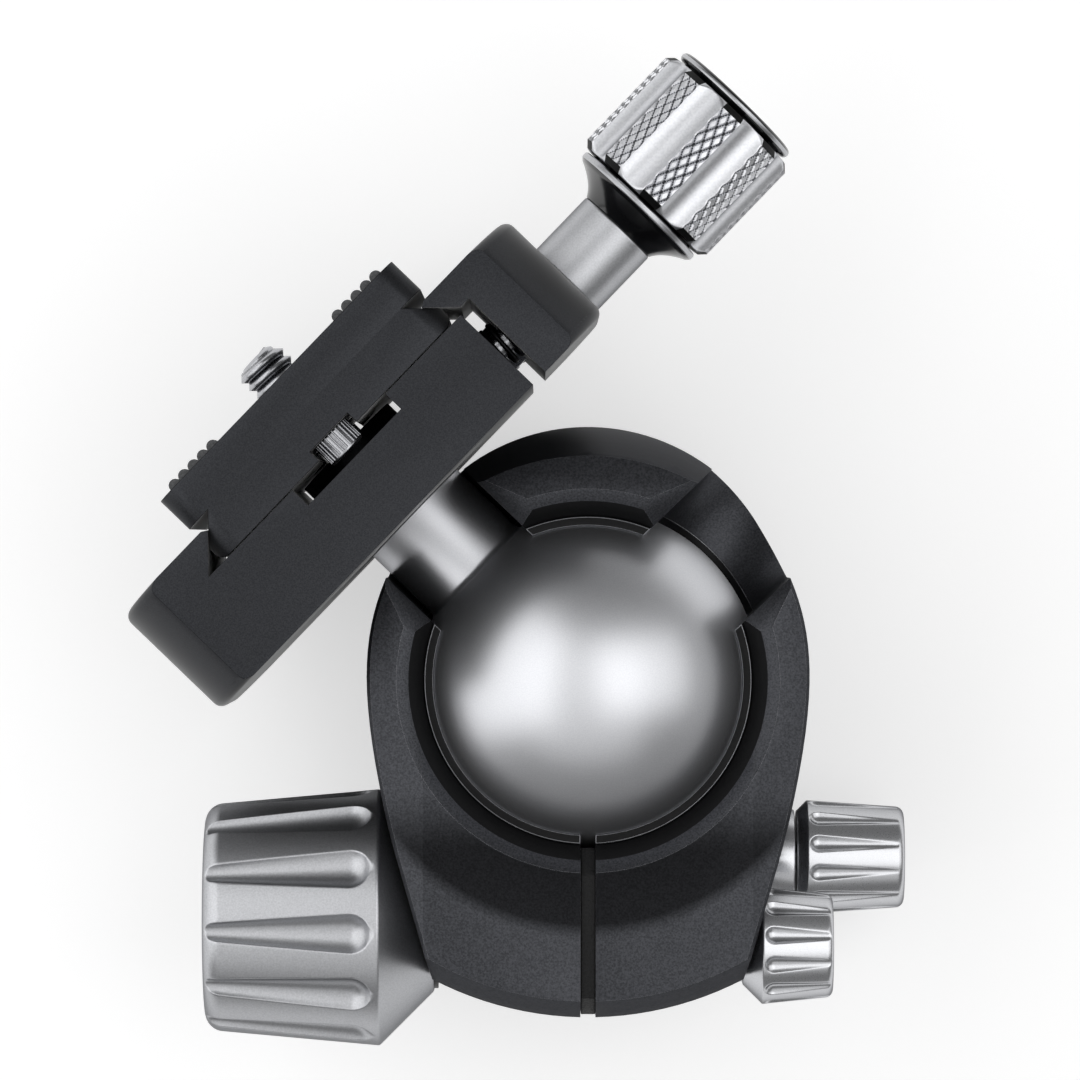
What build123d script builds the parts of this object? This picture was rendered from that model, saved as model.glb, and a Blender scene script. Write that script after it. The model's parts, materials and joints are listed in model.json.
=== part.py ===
from build123d import *

import os
from math import atan, cos, degrees, radians, sin, sqrt

# Low-profile tripod ball head with a screw clamp and a dovetail plate. Millimetres, +Z up.
# The origin is the mouth of the tripod thread, on the base's resting face, under the ball.
# The ball lies tipped into the left drop notch, so its neck and clamp point away level.

# ---- clearances
turning_fit = 0.05        # radial, round a shaft, screw or spigot that turns or slides
seated_fit = 0.02         # radial, round a piece that is pressed or screwed home
ball_fit = 0.06           # radial, between the ball and its liner or seat
clear_gap = 0.3           # between pieces that pass each other freely

# ---- ball and neck
ball_radius = 20.0
ball_height = 38.0        # ball centre above the resting face
ball_flat = 17.8          # ball centre to the flat where the neck starts
core_radius = 10.5        # solid middle of the hollow-turned ball
neck_radius = 7.05
neck_spigot_radius = 4.5
neck_spigot_depth = 5.5
clamp_reach = 28.0        # ball centre to the underside of the clamp

# ---- collar housing
housing_drop = 29.6       # its underside, below the ball centre
housing_rise = 12.5       # its top face, above the ball centre
crown_radius = 23.4       # outer arc of the crown, seen from above
crown_centre = 6.0        # its centre, this far behind the ball
shoulder_x = 20.1         # where the crown arc meets the side
side_half_width = 25.5
side_bulge = (24.6, 8.0)
side_waist = (23.7, -13.7)
side_end_run = (-6.0, -21.0)    # direction of the side where it meets the chin
chin_radius = 39.0        # outer arc of the chin, about the ball
chin_half_width = 18.0
chin_face_radius = 36.9   # outer rim of the flat top face, over the chin
chin_slope_depth = 4.5
chin_sweep = 70.0         # angle that the chin's slope runs over
crown_face_radius = 25.9  # outer rim of the flat top face, over the crown
crown_slope_depth = 16.0
crown_slope_reach = 3.9
crown_slope_bulge = (0.62, 0.46)    # its middle, as shares of the reach and the depth
top_edge_chamfer = 0.4
bottom_edge_chamfer = 0.8
rim_radius = 19.0         # lip that holds the liner
rim_wall_radius = 20.7
rim_wall_drop = 0.9       # top of the rim wall, below the top face
rim_chamfer_radius = 22.1
ball_bore_radius = 20.3   # bore that the ball goes in by, from below
notch_angle = 46.1        # drop notches, either side of straight back
notch_width = 15.2
notch_bevel_drop = 0.337  # fall of the notch bevel towards the ball, per mm
notch_bevel_rise = 0.9    # rise of the bevel away from the notch, per mm
notch_bevel_start = 26.6  # its outer tip, from the ball centre
bevel_inner = 14.0        # the bevel's cut runs from here
bevel_outer = 29.5        # to here, from the ball centre
bevel_over = 1.5          # this far above the top face
bevel_in = 2.0            # and this far into the notch
slit_width = 1.75
slit_drop = 19.4          # its lower end, below the ball centre
seal_inset = 0.35         # of the dust seal, behind the faces round the slit

# ---- liner, seat and rings under the ball
liner_thickness = 0.9
liner_top = 9.1           # above the ball centre
liner_bottom = -9.3
liner_seat_step = -10.4   # where the bore opens up for the liner
seat_top = -10.7
seat_thickness = 6.4
seat_land = 0.2           # upright wall under the seat's cup
seat_spring_height = 0.7
seat_spring_width = 3.6
seat_spring_gap = 0.4     # between the spring and the bore
seat_ring_thickness = 2.4
seat_ring_bore = 11.0
seat_ring_drop = 20.2     # underside of the ring, below the ball centre
spanner_hole_radius = 1.2

# ---- pan base
base_radius = 26.0
pan_gap = 0.4             # filled by the slide washer
groove_depth = 2.2
tripod_thread_radius = 3.97   # wall of a 3/8"-16 thread
tripod_thread_roof = 4.4      # left over its end
thread_insert_radius = 6.5
pan_washer_inner = 21.0
pan_washer_outer = 25.0
retaining_screw_radius = 2.0
retaining_screw_length = 7.0
retaining_socket_radius = 1.0
retaining_socket_depth = 2.0
retaining_azimuths = (90.0, 180.0)

# ---- knobs at the sides: main (left), friction and pan (right)
main_inset = 11.0         # axis behind the front of the chin
main_drop = 4.0           # and below the ball centre
main_start = 24.3         # where the fluted face starts, from the centre plane
main_end = 44.7
main_inner_radius = 15.0
main_outer_radius = 13.35
main_back_radius = 8.6
main_edge_round = 2.2
main_screw_radius = 3.0
main_screw_tip = 13.0
main_screw_cover = 6.0    # of the knob, over the screw's end
main_washer_thickness = 0.45
main_cap_radius = 5.0
main_cap_sink = 1.6
main_cap_thickness = 1.2
friction_inset = 8.0
friction_rise = 2.0
friction_start = 20.3
friction_end = 28.5
friction_inner_radius = 6.8
friction_outer_radius = 6.1
friction_back_radius = 4.5
friction_edge_round = 0.9
friction_screw_radius = 1.5
friction_screw_tip = 11.0
friction_screw_cover = 2.0
friction_spring_height = 0.7
pan_inset = 17.2
pan_drop = 25.0
pan_start = 26.4
pan_end = 38.0
pan_inner_radius = 6.8
pan_outer_radius = 6.0
pan_back_radius = 5.5
pan_edge_round = 1.0
pan_screw_radius = 2.0
pan_screw_cover = 3.0
pan_screw_grip = 11.0     # length of the screw in the cotter
pan_bush_radius = 5.7
pan_bush_seat = 21.4
pan_bush_gap = 0.2        # between the bush and the knob's back
pan_bush_shank = 4.7
pan_bush_depth = 5.4
cotter_radius = 3.6
cotter_start = -6.0
cotter_end = 13.5
cone_pocket_gap = 0.8     # round the knobs' cone backs, in the side of the housing
washer_inset = 0.3        # of a washer or spring, inside the knob's cone back
flute_count = 12
# each flute is (cutter radius, depth, distance from the end), wide at the inner end
main_flute_wide = (2.75, 1.4, 3.0)
main_flute_narrow = (1.1, 0.5, 0.7)
main_flute_phase = -7.0
small_flute_wide = (1.25, 0.6, 1.35)
friction_flute_narrow = (0.6, 0.25, 0.3)
friction_flute_phase = 20.5
pan_flute_narrow = (0.6, 0.25, 0.4)
pan_flute_phase = 14.0

# ---- screw clamp; u runs across the clamp, v away from the ball, w along the clamp
clamp_length = 50.0
clamp_half_width = 31.7
clamp_end_step = 4.7      # the side faces curve in by this much to the ends
clamp_flat_half_length = 12.0
clamp_edge_round = 1.2
clamp_floor = 11.4        # underside to the floor of the groove
plate_gap = 0.1           # under the plate
flank_gap = 0.06
lip_edge = 0.45
lip_land = 0.69           # flat edge of the lips, outside the flank
lip_gap = 1.15            # between the lips and the flange of the plate
jaw_step_out = 3.0        # side of the jaw's foot, outside the plate
jaw_gap = 2.0             # between the base and the jaw
jaw_foot = 0.65           # the jaw's lip starts this far over the groove floor
channel_half_width = 7.6
channel_depth = 2.5
boss_radius = 7.0
boss_drop = 0.3           # its top, below the groove floor
centre_screw_radius = 2.5
centre_head_radius = 4.2
centre_head_height = 3.0
centre_screw_depth = 7.0
guide_radius = 1.5
guide_inset = 9.0         # guide pins, from the ends of the clamp
guide_reach_in = 12.0
guide_wall = 2.2          # left in the jaw beyond the guide pins
guide_end_gap = 0.5
jaw_spring_radius = 2.85
jaw_spring_wire = 0.6
jaw_spring_pocket_in = 4.5
jaw_spring_pocket_out = 2.5

# ---- clamp knob; its pieces follow each other along u, from the face of the jaw
knob_axis_drop = 5.4      # axis below the floor of the groove
clamp_screw_radius = 3.0
clamp_screw_reach_in = 15.0
clamp_screw_grip = 7.4    # length of the screw in the grip
sleeve_core_grip = 11.4   # and of the sleeve's core
boss_sleeve_radius = 5.05
boss_sleeve_length = 8.7
sleeve_core_radius = 4.0
flange_radius = 8.75
flange_flare_length = 2.2
flange_bulge = (0.62, 0.38)   # middle of the flare, as shares of its length and rise
flange_rim_width = 1.1
flange_neck_radius = 8.2
flange_neck_length = 0.9
grip_length = 14.6
grip_radius = 9.7
grip_flute_count = 9
grip_flute_radius = 2.7
grip_flute_depth = 0.6
grip_edge_chamfer = 0.45
knob_cap_radius = 8.7
knob_cap_thickness = 1.5
knob_cap_edge = 0.5

# ---- dovetail plate
plate_length = 50.0
plate_half_width = 19.0
plate_corner = 1.3        # round of the lower edges
plate_end_round = 3.0     # round of the corners, seen from above
dovetail_side = 2.1       # upright side under the flanks
flange_rise = 5.25        # underside of the flange, over the plate's underside
flange_thickness = 4.6
flange_inset = 0.05
plate_slot_half_width = 3.05
plate_slot_depth = 1.45
pad_inner = 9.5
pad_inset = 1.8           # from the side of the plate
pad_end_inset = 1.5
pad_sink = 0.8
pad_ridge_count = 5
pad_ridge_height = 0.8
stop_screw_inset = 4.0    # from the ends of the plate
stop_head_radius = 2.5
stop_head_height = 3.0
stop_shank_radius = 1.5
stop_shank_length = 5.0
camera_screw_radius = 3.175   # 1/4"-20 thread
camera_screw_proud = 4.55
camera_screw_edge = 0.4
camera_neck_radius = 2.45     # undercut neck, so that the screw turns freely in the plate
camera_slot_width = 1.6
camera_slot_depth = 1.2
camera_head_radius = 5.0
camera_head_sink = 3.9    # seat of its head, over the plate's underside
camera_head_height = 2.3
pin_radius = 1.15
pin_proud = 0.7
pin_u = -8.0
pin_w = 6.0
pin_length = 4.5
pin_edge = 0.25
pin_spring_length = 2.4
pin_spring_wire = 0.3

# ---- heights above the resting face
housing_bottom = ball_height - housing_drop
housing_top = ball_height + housing_rise
rim_wall_top = housing_top - rim_wall_drop
slit_bottom = ball_height - slit_drop
seat_ring_bottom = ball_height - seat_ring_drop
base_height = housing_bottom - pan_gap
spigot_top = seat_ring_bottom - pan_gap
tripod_thread_length = spigot_top - tripod_thread_roof
main_y, main_z = main_inset - chin_radius, ball_height - main_drop
friction_y, friction_z = friction_inset - chin_radius, ball_height + friction_rise
pan_y, pan_z = pan_inset - chin_radius, ball_height - pan_drop

# ---- distances v from the ball centre: clamp, dovetail and plate
groove_floor = clamp_reach + clamp_floor
channel_floor = groove_floor - channel_depth
boss_top = groove_floor - boss_drop
jaw_step = groove_floor + jaw_foot
knob_v = groove_floor - knob_axis_drop
plate_bottom = groove_floor + plate_gap
flange_underside = plate_bottom + flange_rise
plate_top = flange_underside + flange_thickness
plate_slot_top = plate_bottom + plate_slot_depth
camera_head_top = plate_bottom + camera_head_sink
clamp_top = flange_underside - lip_gap
lip_corner = clamp_top - lip_edge

# ---- half widths u, and their sum with v on the 45 degree flanks
dovetail_sum = plate_half_width + plate_bottom + dovetail_side
flank_sum = dovetail_sum + flank_gap
lip_half_width = flank_sum - lip_corner + lip_land
jaw_side = plate_half_width + jaw_step_out
base_side = jaw_side - jaw_gap
clamp_end_half_width = clamp_half_width - clamp_end_step
flange_half_width = plate_half_width - flange_inset
pad_outer = plate_half_width - pad_inset
boss_sleeve_end = clamp_half_width + boss_sleeve_length
flange_flare_end = boss_sleeve_end + flange_flare_length
flange_rim_end = flange_flare_end + flange_rim_width
grip_start = flange_rim_end + flange_neck_length
grip_end = grip_start + grip_length

# ---- half lengths w
guide_spread = clamp_length / 2 - guide_inset
pad_half_length = plate_length / 2 - pad_end_inset
stop_screw_spread = plate_length / 2 - stop_screw_inset


# ---- planes and helpers
def radial_plane(azimuth, height=0.0):
    """Upright plane through the ball's axis; local x points out at the azimuth, local y up."""
    a = radians(azimuth)
    return Plane(origin=(0, 0, height), x_dir=(cos(a), sin(a), 0), z_dir=(sin(a), -cos(a), 0))


def outward_plane(azimuth, height, distance=0.0):
    """Upright plane across a level direction; its normal points out and local y is up."""
    a = radians(azimuth)
    return Plane(
        origin=(distance * cos(a), distance * sin(a), height),
        x_dir=(-sin(a), cos(a), 0),
        z_dir=(cos(a), sin(a), 0),
    )


def side_axis(direction, y, z):
    """Plane whose normal is a side knob's axis, pointing out at +1 or -1 along X."""
    return Plane(origin=(0, y, z), x_dir=(0, 0, 1), z_dir=(direction, 0, 0))


def section_of(axis_plane):
    """Plane that holds the axis; local x is the distance along it and local y the radius."""
    return Plane(axis_plane.origin, x_dir=axis_plane.z_dir, z_dir=axis_plane.y_dir)


def axis_of(axis_plane):
    return Axis(axis_plane.origin, axis_plane.z_dir)


def turn(outline, *axis_planes):
    """Turned solids, one about each plane's normal; the outline lists (distance, radius)."""
    for axis_plane in axis_planes:
        with BuildSketch(section_of(axis_plane)) as section:
            with BuildLine():
                Polyline(*outline, close=True)
            make_face()
        revolve(section.sketch, axis=axis_of(axis_plane))


def ring_outline(start, end, inner, outer):
    return [(start, inner), (end, inner), (end, outer), (start, outer)]


def rod_outline(start, end, radius, edge=0.3):
    return [(start, 0), (start, radius), (end - edge, radius), (end, radius - edge), (end, 0)]


def cap_screw_outline(head_face, seat, tip, head_radius, shank_radius, edge=0.3):
    """Cap screw with a round socket; the shank runs from under the head's seat to the tip."""
    way = 1 if tip > seat else -1
    socket_radius = 0.5 * head_radius
    socket_floor = head_face + 0.6 * (seat - head_face)
    return [(socket_floor, 0), (socket_floor, socket_radius), (head_face, socket_radius),
            (head_face, head_radius - edge), (head_face + way * edge, head_radius),
            (seat, head_radius), (seat, shank_radius), (tip - way * edge, shank_radius),
            (tip, shank_radius - edge), (tip, 0)]


main_axis = side_axis(-1, main_y, main_z)
friction_axis = side_axis(1, friction_y, friction_z)
pan_axis = side_axis(1, pan_y, pan_z)

u_dir = Vector(cos(radians(notch_angle)), sin(radians(notch_angle)), 0)
v_dir = Vector(-sin(radians(notch_angle)), cos(radians(notch_angle)), 0)
ball_centre = Vector(0, 0, ball_height)
section_plane = Plane(origin=ball_centre, x_dir=u_dir, z_dir=(0, 0, 1))
neck_axis = Plane(origin=ball_centre, x_dir=u_dir, z_dir=v_dir)
knob_axis = Plane(origin=ball_centre + v_dir * knob_v, x_dir=(0, 0, 1), z_dir=u_dir)
notch_azimuths = (90 - notch_angle, 90 + notch_angle)


def clamp_axis(u, w):
    """Plane whose normal is v, at a place on the clamp; distances along it count from the ball."""
    return Plane(origin=ball_centre + u_dir * u + Vector(0, 0, w), x_dir=u_dir, z_dir=v_dir)


os.makedirs("parts", exist_ok=True)

# ---- pan base: a disc with a grooved spigot that the housing turns on
spigot_radius = ball_bore_radius - turning_fit
groove_radius = spigot_radius - groove_depth


def spigot_outline(clearance):
    """Upper part of the base, grown by a clearance, as (radius, height)."""
    return [
        (0, base_height),
        (spigot_radius + clearance, base_height),
        (spigot_radius + clearance, pan_z - groove_depth),
        (groove_radius + clearance, pan_z),
        (spigot_radius + clearance, pan_z + groove_depth),
        (spigot_radius + clearance, spigot_top + clearance),
        (0, spigot_top + clearance),
    ]


with BuildPart() as pan_base:
    with BuildSketch(Plane.XZ):
        with BuildLine():
            Polyline(
                (0, 0),
                (base_radius - bottom_edge_chamfer, 0),
                (base_radius, bottom_edge_chamfer),
                (base_radius, base_height - bottom_edge_chamfer),
                (base_radius - bottom_edge_chamfer, base_height),
                *spigot_outline(0)[1:],
                close=True,
            )
        make_face()
    revolve(axis=Axis.Z)
    with BuildSketch(Plane.XY):
        Circle(thread_insert_radius + seated_fit)
    extrude(amount=tripod_thread_length, mode=Mode.SUBTRACT)
pan_base.part.label = "pan_base"
export_step(pan_base.part, "parts/pan_base.step")

with BuildPart() as thread_insert:
    turn(
        ring_outline(0, tripod_thread_length, tripod_thread_radius, thread_insert_radius), Plane.XY
    )
thread_insert.part.label = "thread_insert"
export_step(thread_insert.part, "parts/thread_insert.step")

with BuildPart() as pan_washer:
    turn(
        ring_outline(base_height, housing_bottom, pan_washer_inner, pan_washer_outer), Plane.XY
    )
pan_washer.part.label = "pan_washer"
export_step(pan_washer.part, "parts/pan_washer.step")

# ---- housing: a split collar with a crown, two drop notches and a chin
liner_inner = ball_radius + ball_fit
liner_outer = liner_inner + liner_thickness
liner_bore = liner_outer + seated_fit
liner_seat = ball_height + liner_seat_step
shoulder_y = crown_centre + sqrt(crown_radius**2 - shoulder_x**2)
chin_corner_y = -sqrt(chin_radius**2 - chin_half_width**2)
crown_half_turn = degrees(atan(shoulder_x / (shoulder_y - crown_centre))) / 2
chin_half_turn = degrees(atan(chin_half_width / -chin_corner_y)) / 2
main_back = main_start - (main_inner_radius - main_back_radius)
main_floor = main_back - main_washer_thickness - seated_fit
friction_back = friction_start - (friction_inner_radius - friction_back_radius)
friction_floor = friction_back - friction_spring_height - seated_fit
pan_back = pan_start - (pan_inner_radius - pan_back_radius)
pan_bush_end = pan_back - pan_bush_gap
bush_hole_end = pan_bush_seat - pan_bush_depth
pan_screw_tip = cotter_end - pan_screw_grip
through = 60.0            # longer than any cut needs


def on_arc(radius, turn, centre=0.0):
    """Point on an arc about (0, centre), a turn from straight back."""
    return (radius * sin(radians(turn)), centre + radius * cos(radians(turn)))


def bevel_triangle(distance, side):
    """Cut above the notch's bevel plane, across the notch at a distance from the ball."""
    drop = notch_bevel_drop * (notch_bevel_start - distance)
    half = notch_width / 2
    inner = half - bevel_in
    outer = half + (bevel_over + drop) / notch_bevel_rise
    low = -drop - bevel_in * notch_bevel_rise
    return [(side * inner, low), (side * outer, bevel_over), (side * inner, bevel_over)]


def cut_notches():
    """Round-bottomed notches for the neck, cut out from the ball through the wall."""
    planes = [outward_plane(azimuth, ball_height) for azimuth in notch_azimuths]
    with BuildSketch(*planes) as slots:
        Circle(notch_width / 2)
        with Locations((0, through / 2)):
            Rectangle(notch_width, through)
    extrude(slots.sketch, amount=through, mode=Mode.SUBTRACT)


def cut_slit(bottom):
    with BuildSketch(Plane.XY.offset(bottom)) as slit:
        with Locations((0, -through / 2 - ball_radius / 2)):
            Rectangle(slit_width, through)
    extrude(slit.sketch, amount=through, mode=Mode.SUBTRACT)


def cut_hole(axis_plane, start, end, radius):
    with BuildSketch(axis_plane.offset(start)) as hole:
        Circle(radius)
    extrude(hole.sketch, amount=end - start, mode=Mode.SUBTRACT)


def cut_cone_pocket(axis_plane, floor, back, back_radius):
    """Pocket with a flat floor and a 45 degree mouth round a knob's cone back."""
    radius = back_radius + cone_pocket_gap
    with BuildSketch(section_of(axis_plane)) as pocket:
        with BuildLine():
            Polyline((floor, 0), (floor, radius), (back, radius),
                     (back + chin_radius, radius + chin_radius), (back + chin_radius, 0), close=True)
        make_face()
    revolve(pocket.sketch, axis=axis_of(axis_plane), mode=Mode.SUBTRACT)


with BuildPart() as housing:
    with BuildSketch(Plane.XY.offset(housing_bottom)):
        with BuildLine():
            ThreePointArc(
                on_arc(crown_radius, 0, crown_centre),
                on_arc(crown_radius, crown_half_turn, crown_centre),
                (shoulder_x, shoulder_y),
            )
            Spline((shoulder_x, shoulder_y), side_bulge, (side_half_width, 0), side_waist,
                   (chin_half_width, chin_corner_y),
                   tangents=((shoulder_y - crown_centre, -shoulder_x), side_end_run))
            ThreePointArc(
                (chin_half_width, chin_corner_y),
                on_arc(-chin_radius, -chin_half_turn),
                (0, -chin_radius),
            )
            mirror(about=Plane.YZ)
        make_face()
    extrude(amount=housing_top - housing_bottom)
    bottom_rim = housing.faces().sort_by(Axis.Z)[0].edges()
    chamfer(bottom_rim, bottom_edge_chamfer)
    top_rim = housing.faces().sort_by(Axis.Z)[-1].edges()
    chamfer(top_rim, top_edge_chamfer)

    # The crown's outer wall curves down from the top face
    with BuildSketch(radial_plane(notch_azimuths[0])):
        with BuildLine():
            crown_foot = (crown_face_radius + crown_slope_reach, housing_top - crown_slope_depth)
            ThreePointArc(
                (crown_face_radius, housing_top),
                (crown_face_radius + crown_slope_bulge[0] * crown_slope_reach,
                 housing_top - crown_slope_bulge[1] * crown_slope_depth),
                crown_foot,
            )
            Polyline(crown_foot, (through, crown_foot[1]), (through, housing_top + 1),
                     (crown_face_radius, housing_top + 1), (crown_face_radius, housing_top))
        make_face()
    revolve(axis=Axis.Z, revolution_arc=2 * notch_angle, mode=Mode.SUBTRACT)

    # The chin slopes in to the top face
    with BuildSketch(radial_plane(-90 - chin_sweep / 2)):
        with BuildLine():
            Polyline((chin_face_radius, housing_top), (chin_radius, housing_top - chin_slope_depth),
                     (through, housing_top - chin_slope_depth), (through, housing_top + 1),
                     (chin_face_radius, housing_top + 1), close=True)
        make_face()
    revolve(axis=Axis.Z, revolution_arc=chin_sweep, mode=Mode.SUBTRACT)

    cut_notches()
    for azimuth in notch_azimuths:
        for side in (-1, 1):
            for distance in (bevel_inner, bevel_outer):
                with BuildSketch(outward_plane(azimuth, housing_top, distance)):
                    with BuildLine():
                        Polyline(*bevel_triangle(distance, side), close=True)
                    make_face()
            loft(ruled=True, mode=Mode.SUBTRACT)

    # Bore for the base and the ball, the liner's ball-shaped seat and the rim above it
    lip_height = ball_height + sqrt(liner_bore**2 - rim_radius**2)
    seat_mid = 0.5 * atan((lip_height - ball_height) / rim_radius)
    with BuildSketch(radial_plane(0)):
        with BuildLine():
            Polyline((liner_bore, ball_height), (liner_bore, liner_seat), (ball_bore_radius, liner_seat),
                     (ball_bore_radius, housing_bottom - 1), (0, housing_bottom - 1),
                     (0, housing_top + 1), (rim_chamfer_radius, housing_top + 1),
                     (rim_chamfer_radius, housing_top), (rim_wall_radius, rim_wall_top),
                     (rim_radius, lip_height))
            ThreePointArc(
                (rim_radius, lip_height),
                (liner_bore * cos(seat_mid), ball_height + liner_bore * sin(seat_mid)),
                (liner_bore, ball_height),
            )
        make_face()
    revolve(axis=Axis.Z, mode=Mode.SUBTRACT)
    cut_slit(slit_bottom)

    # Main lock screw: free in the left ear, threaded into the right one
    cut_cone_pocket(main_axis, main_floor, main_back, main_back_radius)
    cut_hole(main_axis, 0, main_floor, main_screw_radius + clear_gap)
    cut_hole(main_axis, -main_screw_tip - 1, 0, main_screw_radius + turning_fit)

    # Friction screw: free in the right ear, threaded into the left one
    cut_cone_pocket(friction_axis, friction_floor, friction_back, friction_back_radius)
    cut_hole(friction_axis, 0, friction_floor, friction_screw_radius + clear_gap)
    cut_hole(friction_axis, -friction_screw_tip - 1, 0, friction_screw_radius + turning_fit)

    # Pan lock: a flat for the bush, its seat and the cotter's bore past the spigot
    cut_hole(pan_axis, pan_bush_seat, through, pan_bush_radius + cone_pocket_gap)
    cut_hole(pan_axis, bush_hole_end, pan_bush_seat, pan_bush_shank + seated_fit)
    cut_hole(pan_axis, cotter_start - 1, bush_hole_end, cotter_radius + seated_fit)
    for azimuth in retaining_azimuths:
        cut_hole(outward_plane(azimuth, pan_z), 0, through, retaining_screw_radius + seated_fit)
housing.part.label = "housing"
export_step(housing.part, "parts/housing.step")

# ---- liner: a springy C ring round the upper half of the ball, open at the notches and the slit
def on_ball(radius, height):
    """Point on a sphere about the ball centre, as (radius, height), at a height from the centre."""
    return (sqrt(radius**2 - height**2), ball_height + height)


with BuildPart() as ball_liner:
    with BuildSketch(radial_plane(0)):
        with BuildLine():
            ThreePointArc(
                on_ball(liner_inner, liner_bottom), (liner_inner, ball_height),
                on_ball(liner_inner, liner_top),
            )
            Line(on_ball(liner_inner, liner_top), on_ball(liner_outer, liner_top))
            ThreePointArc(
                on_ball(liner_outer, liner_top), on_ball(liner_outer, liner_top / 2),
                (liner_outer, ball_height),
            )
            Polyline((liner_outer, ball_height), (liner_outer, ball_height + liner_bottom),
                     on_ball(liner_inner, liner_bottom))
        make_face()
    revolve(axis=Axis.Z)
    cut_notches()
    cut_slit(0)
ball_liner.part.label = "ball_liner"
export_step(ball_liner.part, "parts/ball_liner.step")

# ---- lower seat of the ball, its wave spring and the ring that closes the bore
seat_outer = ball_bore_radius - seated_fit
seat_ring_top = seat_ring_bottom + seat_ring_thickness
seat_spring_top = seat_ring_top + seat_spring_height
seat_bottom = seat_top - seat_thickness

cup_bottom = seat_bottom + seat_land

with BuildPart() as ball_seat:
    with BuildSketch(radial_plane(0)):
        with BuildLine():
            ThreePointArc(
                on_ball(liner_inner, cup_bottom),
                on_ball(liner_inner, (seat_top + seat_bottom) / 2),
                on_ball(liner_inner, seat_top),
            )
            Polyline(on_ball(liner_inner, seat_top), (seat_outer, ball_height + seat_top),
                     (seat_outer, seat_spring_top),
                     (on_ball(liner_inner, cup_bottom)[0], seat_spring_top),
                     on_ball(liner_inner, cup_bottom))
        make_face()
    revolve(axis=Axis.Z)
ball_seat.part.label = "ball_seat"
export_step(ball_seat.part, "parts/ball_seat.step")

seat_spring_outer = seat_outer - seat_spring_gap
with BuildPart() as seat_spring:
    turn(
        ring_outline(seat_ring_top, seat_spring_top, seat_spring_outer - seat_spring_width,
                     seat_spring_outer),
        Plane.XY,
    )
seat_spring.part.label = "seat_spring"
export_step(seat_spring.part, "parts/seat_spring.step")

with BuildPart() as seat_ring:
    with BuildSketch(Plane.XY.offset(seat_ring_bottom)):
        Circle(seat_outer)
        Circle(seat_ring_bore, mode=Mode.SUBTRACT)
        with PolarLocations((seat_outer + seat_ring_bore) / 2, 2):
            Circle(spanner_hole_radius, mode=Mode.SUBTRACT)
    extrude(amount=seat_ring_thickness)
seat_ring.part.label = "seat_ring"
export_step(seat_ring.part, "parts/seat_ring.step")

# ---- dust seal in the slit, with holes for the two screws that cross it
seal_half = slit_width / 2 - turning_fit
with BuildPart() as slit_seal:
    with BuildSketch(Plane.YZ):
        with BuildLine():
            Polyline(
                (-liner_bore - clear_gap, slit_bottom + turning_fit),
                (-chin_radius + seal_inset, slit_bottom + turning_fit),
                (-chin_radius + seal_inset, housing_top - chin_slope_depth - seal_inset),
                (-chin_face_radius + seal_inset, housing_top - seal_inset),
                (-rim_chamfer_radius - seal_inset, housing_top - seal_inset),
                (-rim_wall_radius - seal_inset, rim_wall_top - seal_inset),
                (-rim_radius - seal_inset, lip_height),
                (-liner_bore - clear_gap, ball_height),
                close=True,
            )
        make_face()
        with Locations((main_y, main_z)):
            Circle(main_screw_radius + clear_gap, mode=Mode.SUBTRACT)
        with Locations((friction_y, friction_z)):
            Circle(friction_screw_radius + clear_gap, mode=Mode.SUBTRACT)
    extrude(amount=seal_half, both=True)
slit_seal.part.label = "slit_seal"
export_step(slit_seal.part, "parts/slit_seal.step")

# ---- pan lock inside the housing: bush, cotter and the screws that keep the housing on its base
with BuildPart() as pan_bush:
    turn(
        [(bush_hole_end, pan_screw_radius + turning_fit), (bush_hole_end, pan_bush_shank),
         (pan_bush_seat, pan_bush_shank), (pan_bush_seat, pan_bush_radius),
         (pan_bush_end, pan_bush_radius), (pan_bush_end, pan_screw_radius + turning_fit)],
        pan_axis,
    )
pan_bush.part.label = "pan_bush"
export_step(pan_bush.part, "parts/pan_bush.step")

with BuildPart() as pan_cotter:
    with BuildSketch(pan_axis.offset(cotter_start)):
        Circle(cotter_radius)
    extrude(amount=cotter_end - cotter_start)
    with BuildSketch(Plane.XZ):
        with BuildLine():
            Polyline(*spigot_outline(turning_fit), close=True)
        make_face()
    revolve(axis=Axis.Z, mode=Mode.SUBTRACT)
    cut_hole(pan_axis, pan_screw_tip - 1, cotter_end, pan_screw_radius + turning_fit)
pan_cotter.part.label = "pan_cotter"
export_step(pan_cotter.part, "parts/pan_cotter.step")

cone_tip = groove_radius + clear_gap
socket_mouth = cone_tip + retaining_screw_length
socket_floor = socket_mouth - retaining_socket_depth
with BuildPart() as retaining_screws:
    turn(
        [(cone_tip, 0), (cone_tip + retaining_screw_radius, retaining_screw_radius),
         (socket_mouth, retaining_screw_radius), (socket_mouth, retaining_socket_radius),
         (socket_floor, retaining_socket_radius), (socket_floor, 0)],
        *[outward_plane(azimuth, pan_z) for azimuth in retaining_azimuths],
    )
retaining_screws.part.label = "retaining_screws"
export_step(retaining_screws.part, "parts/retaining_screws.step")


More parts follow.
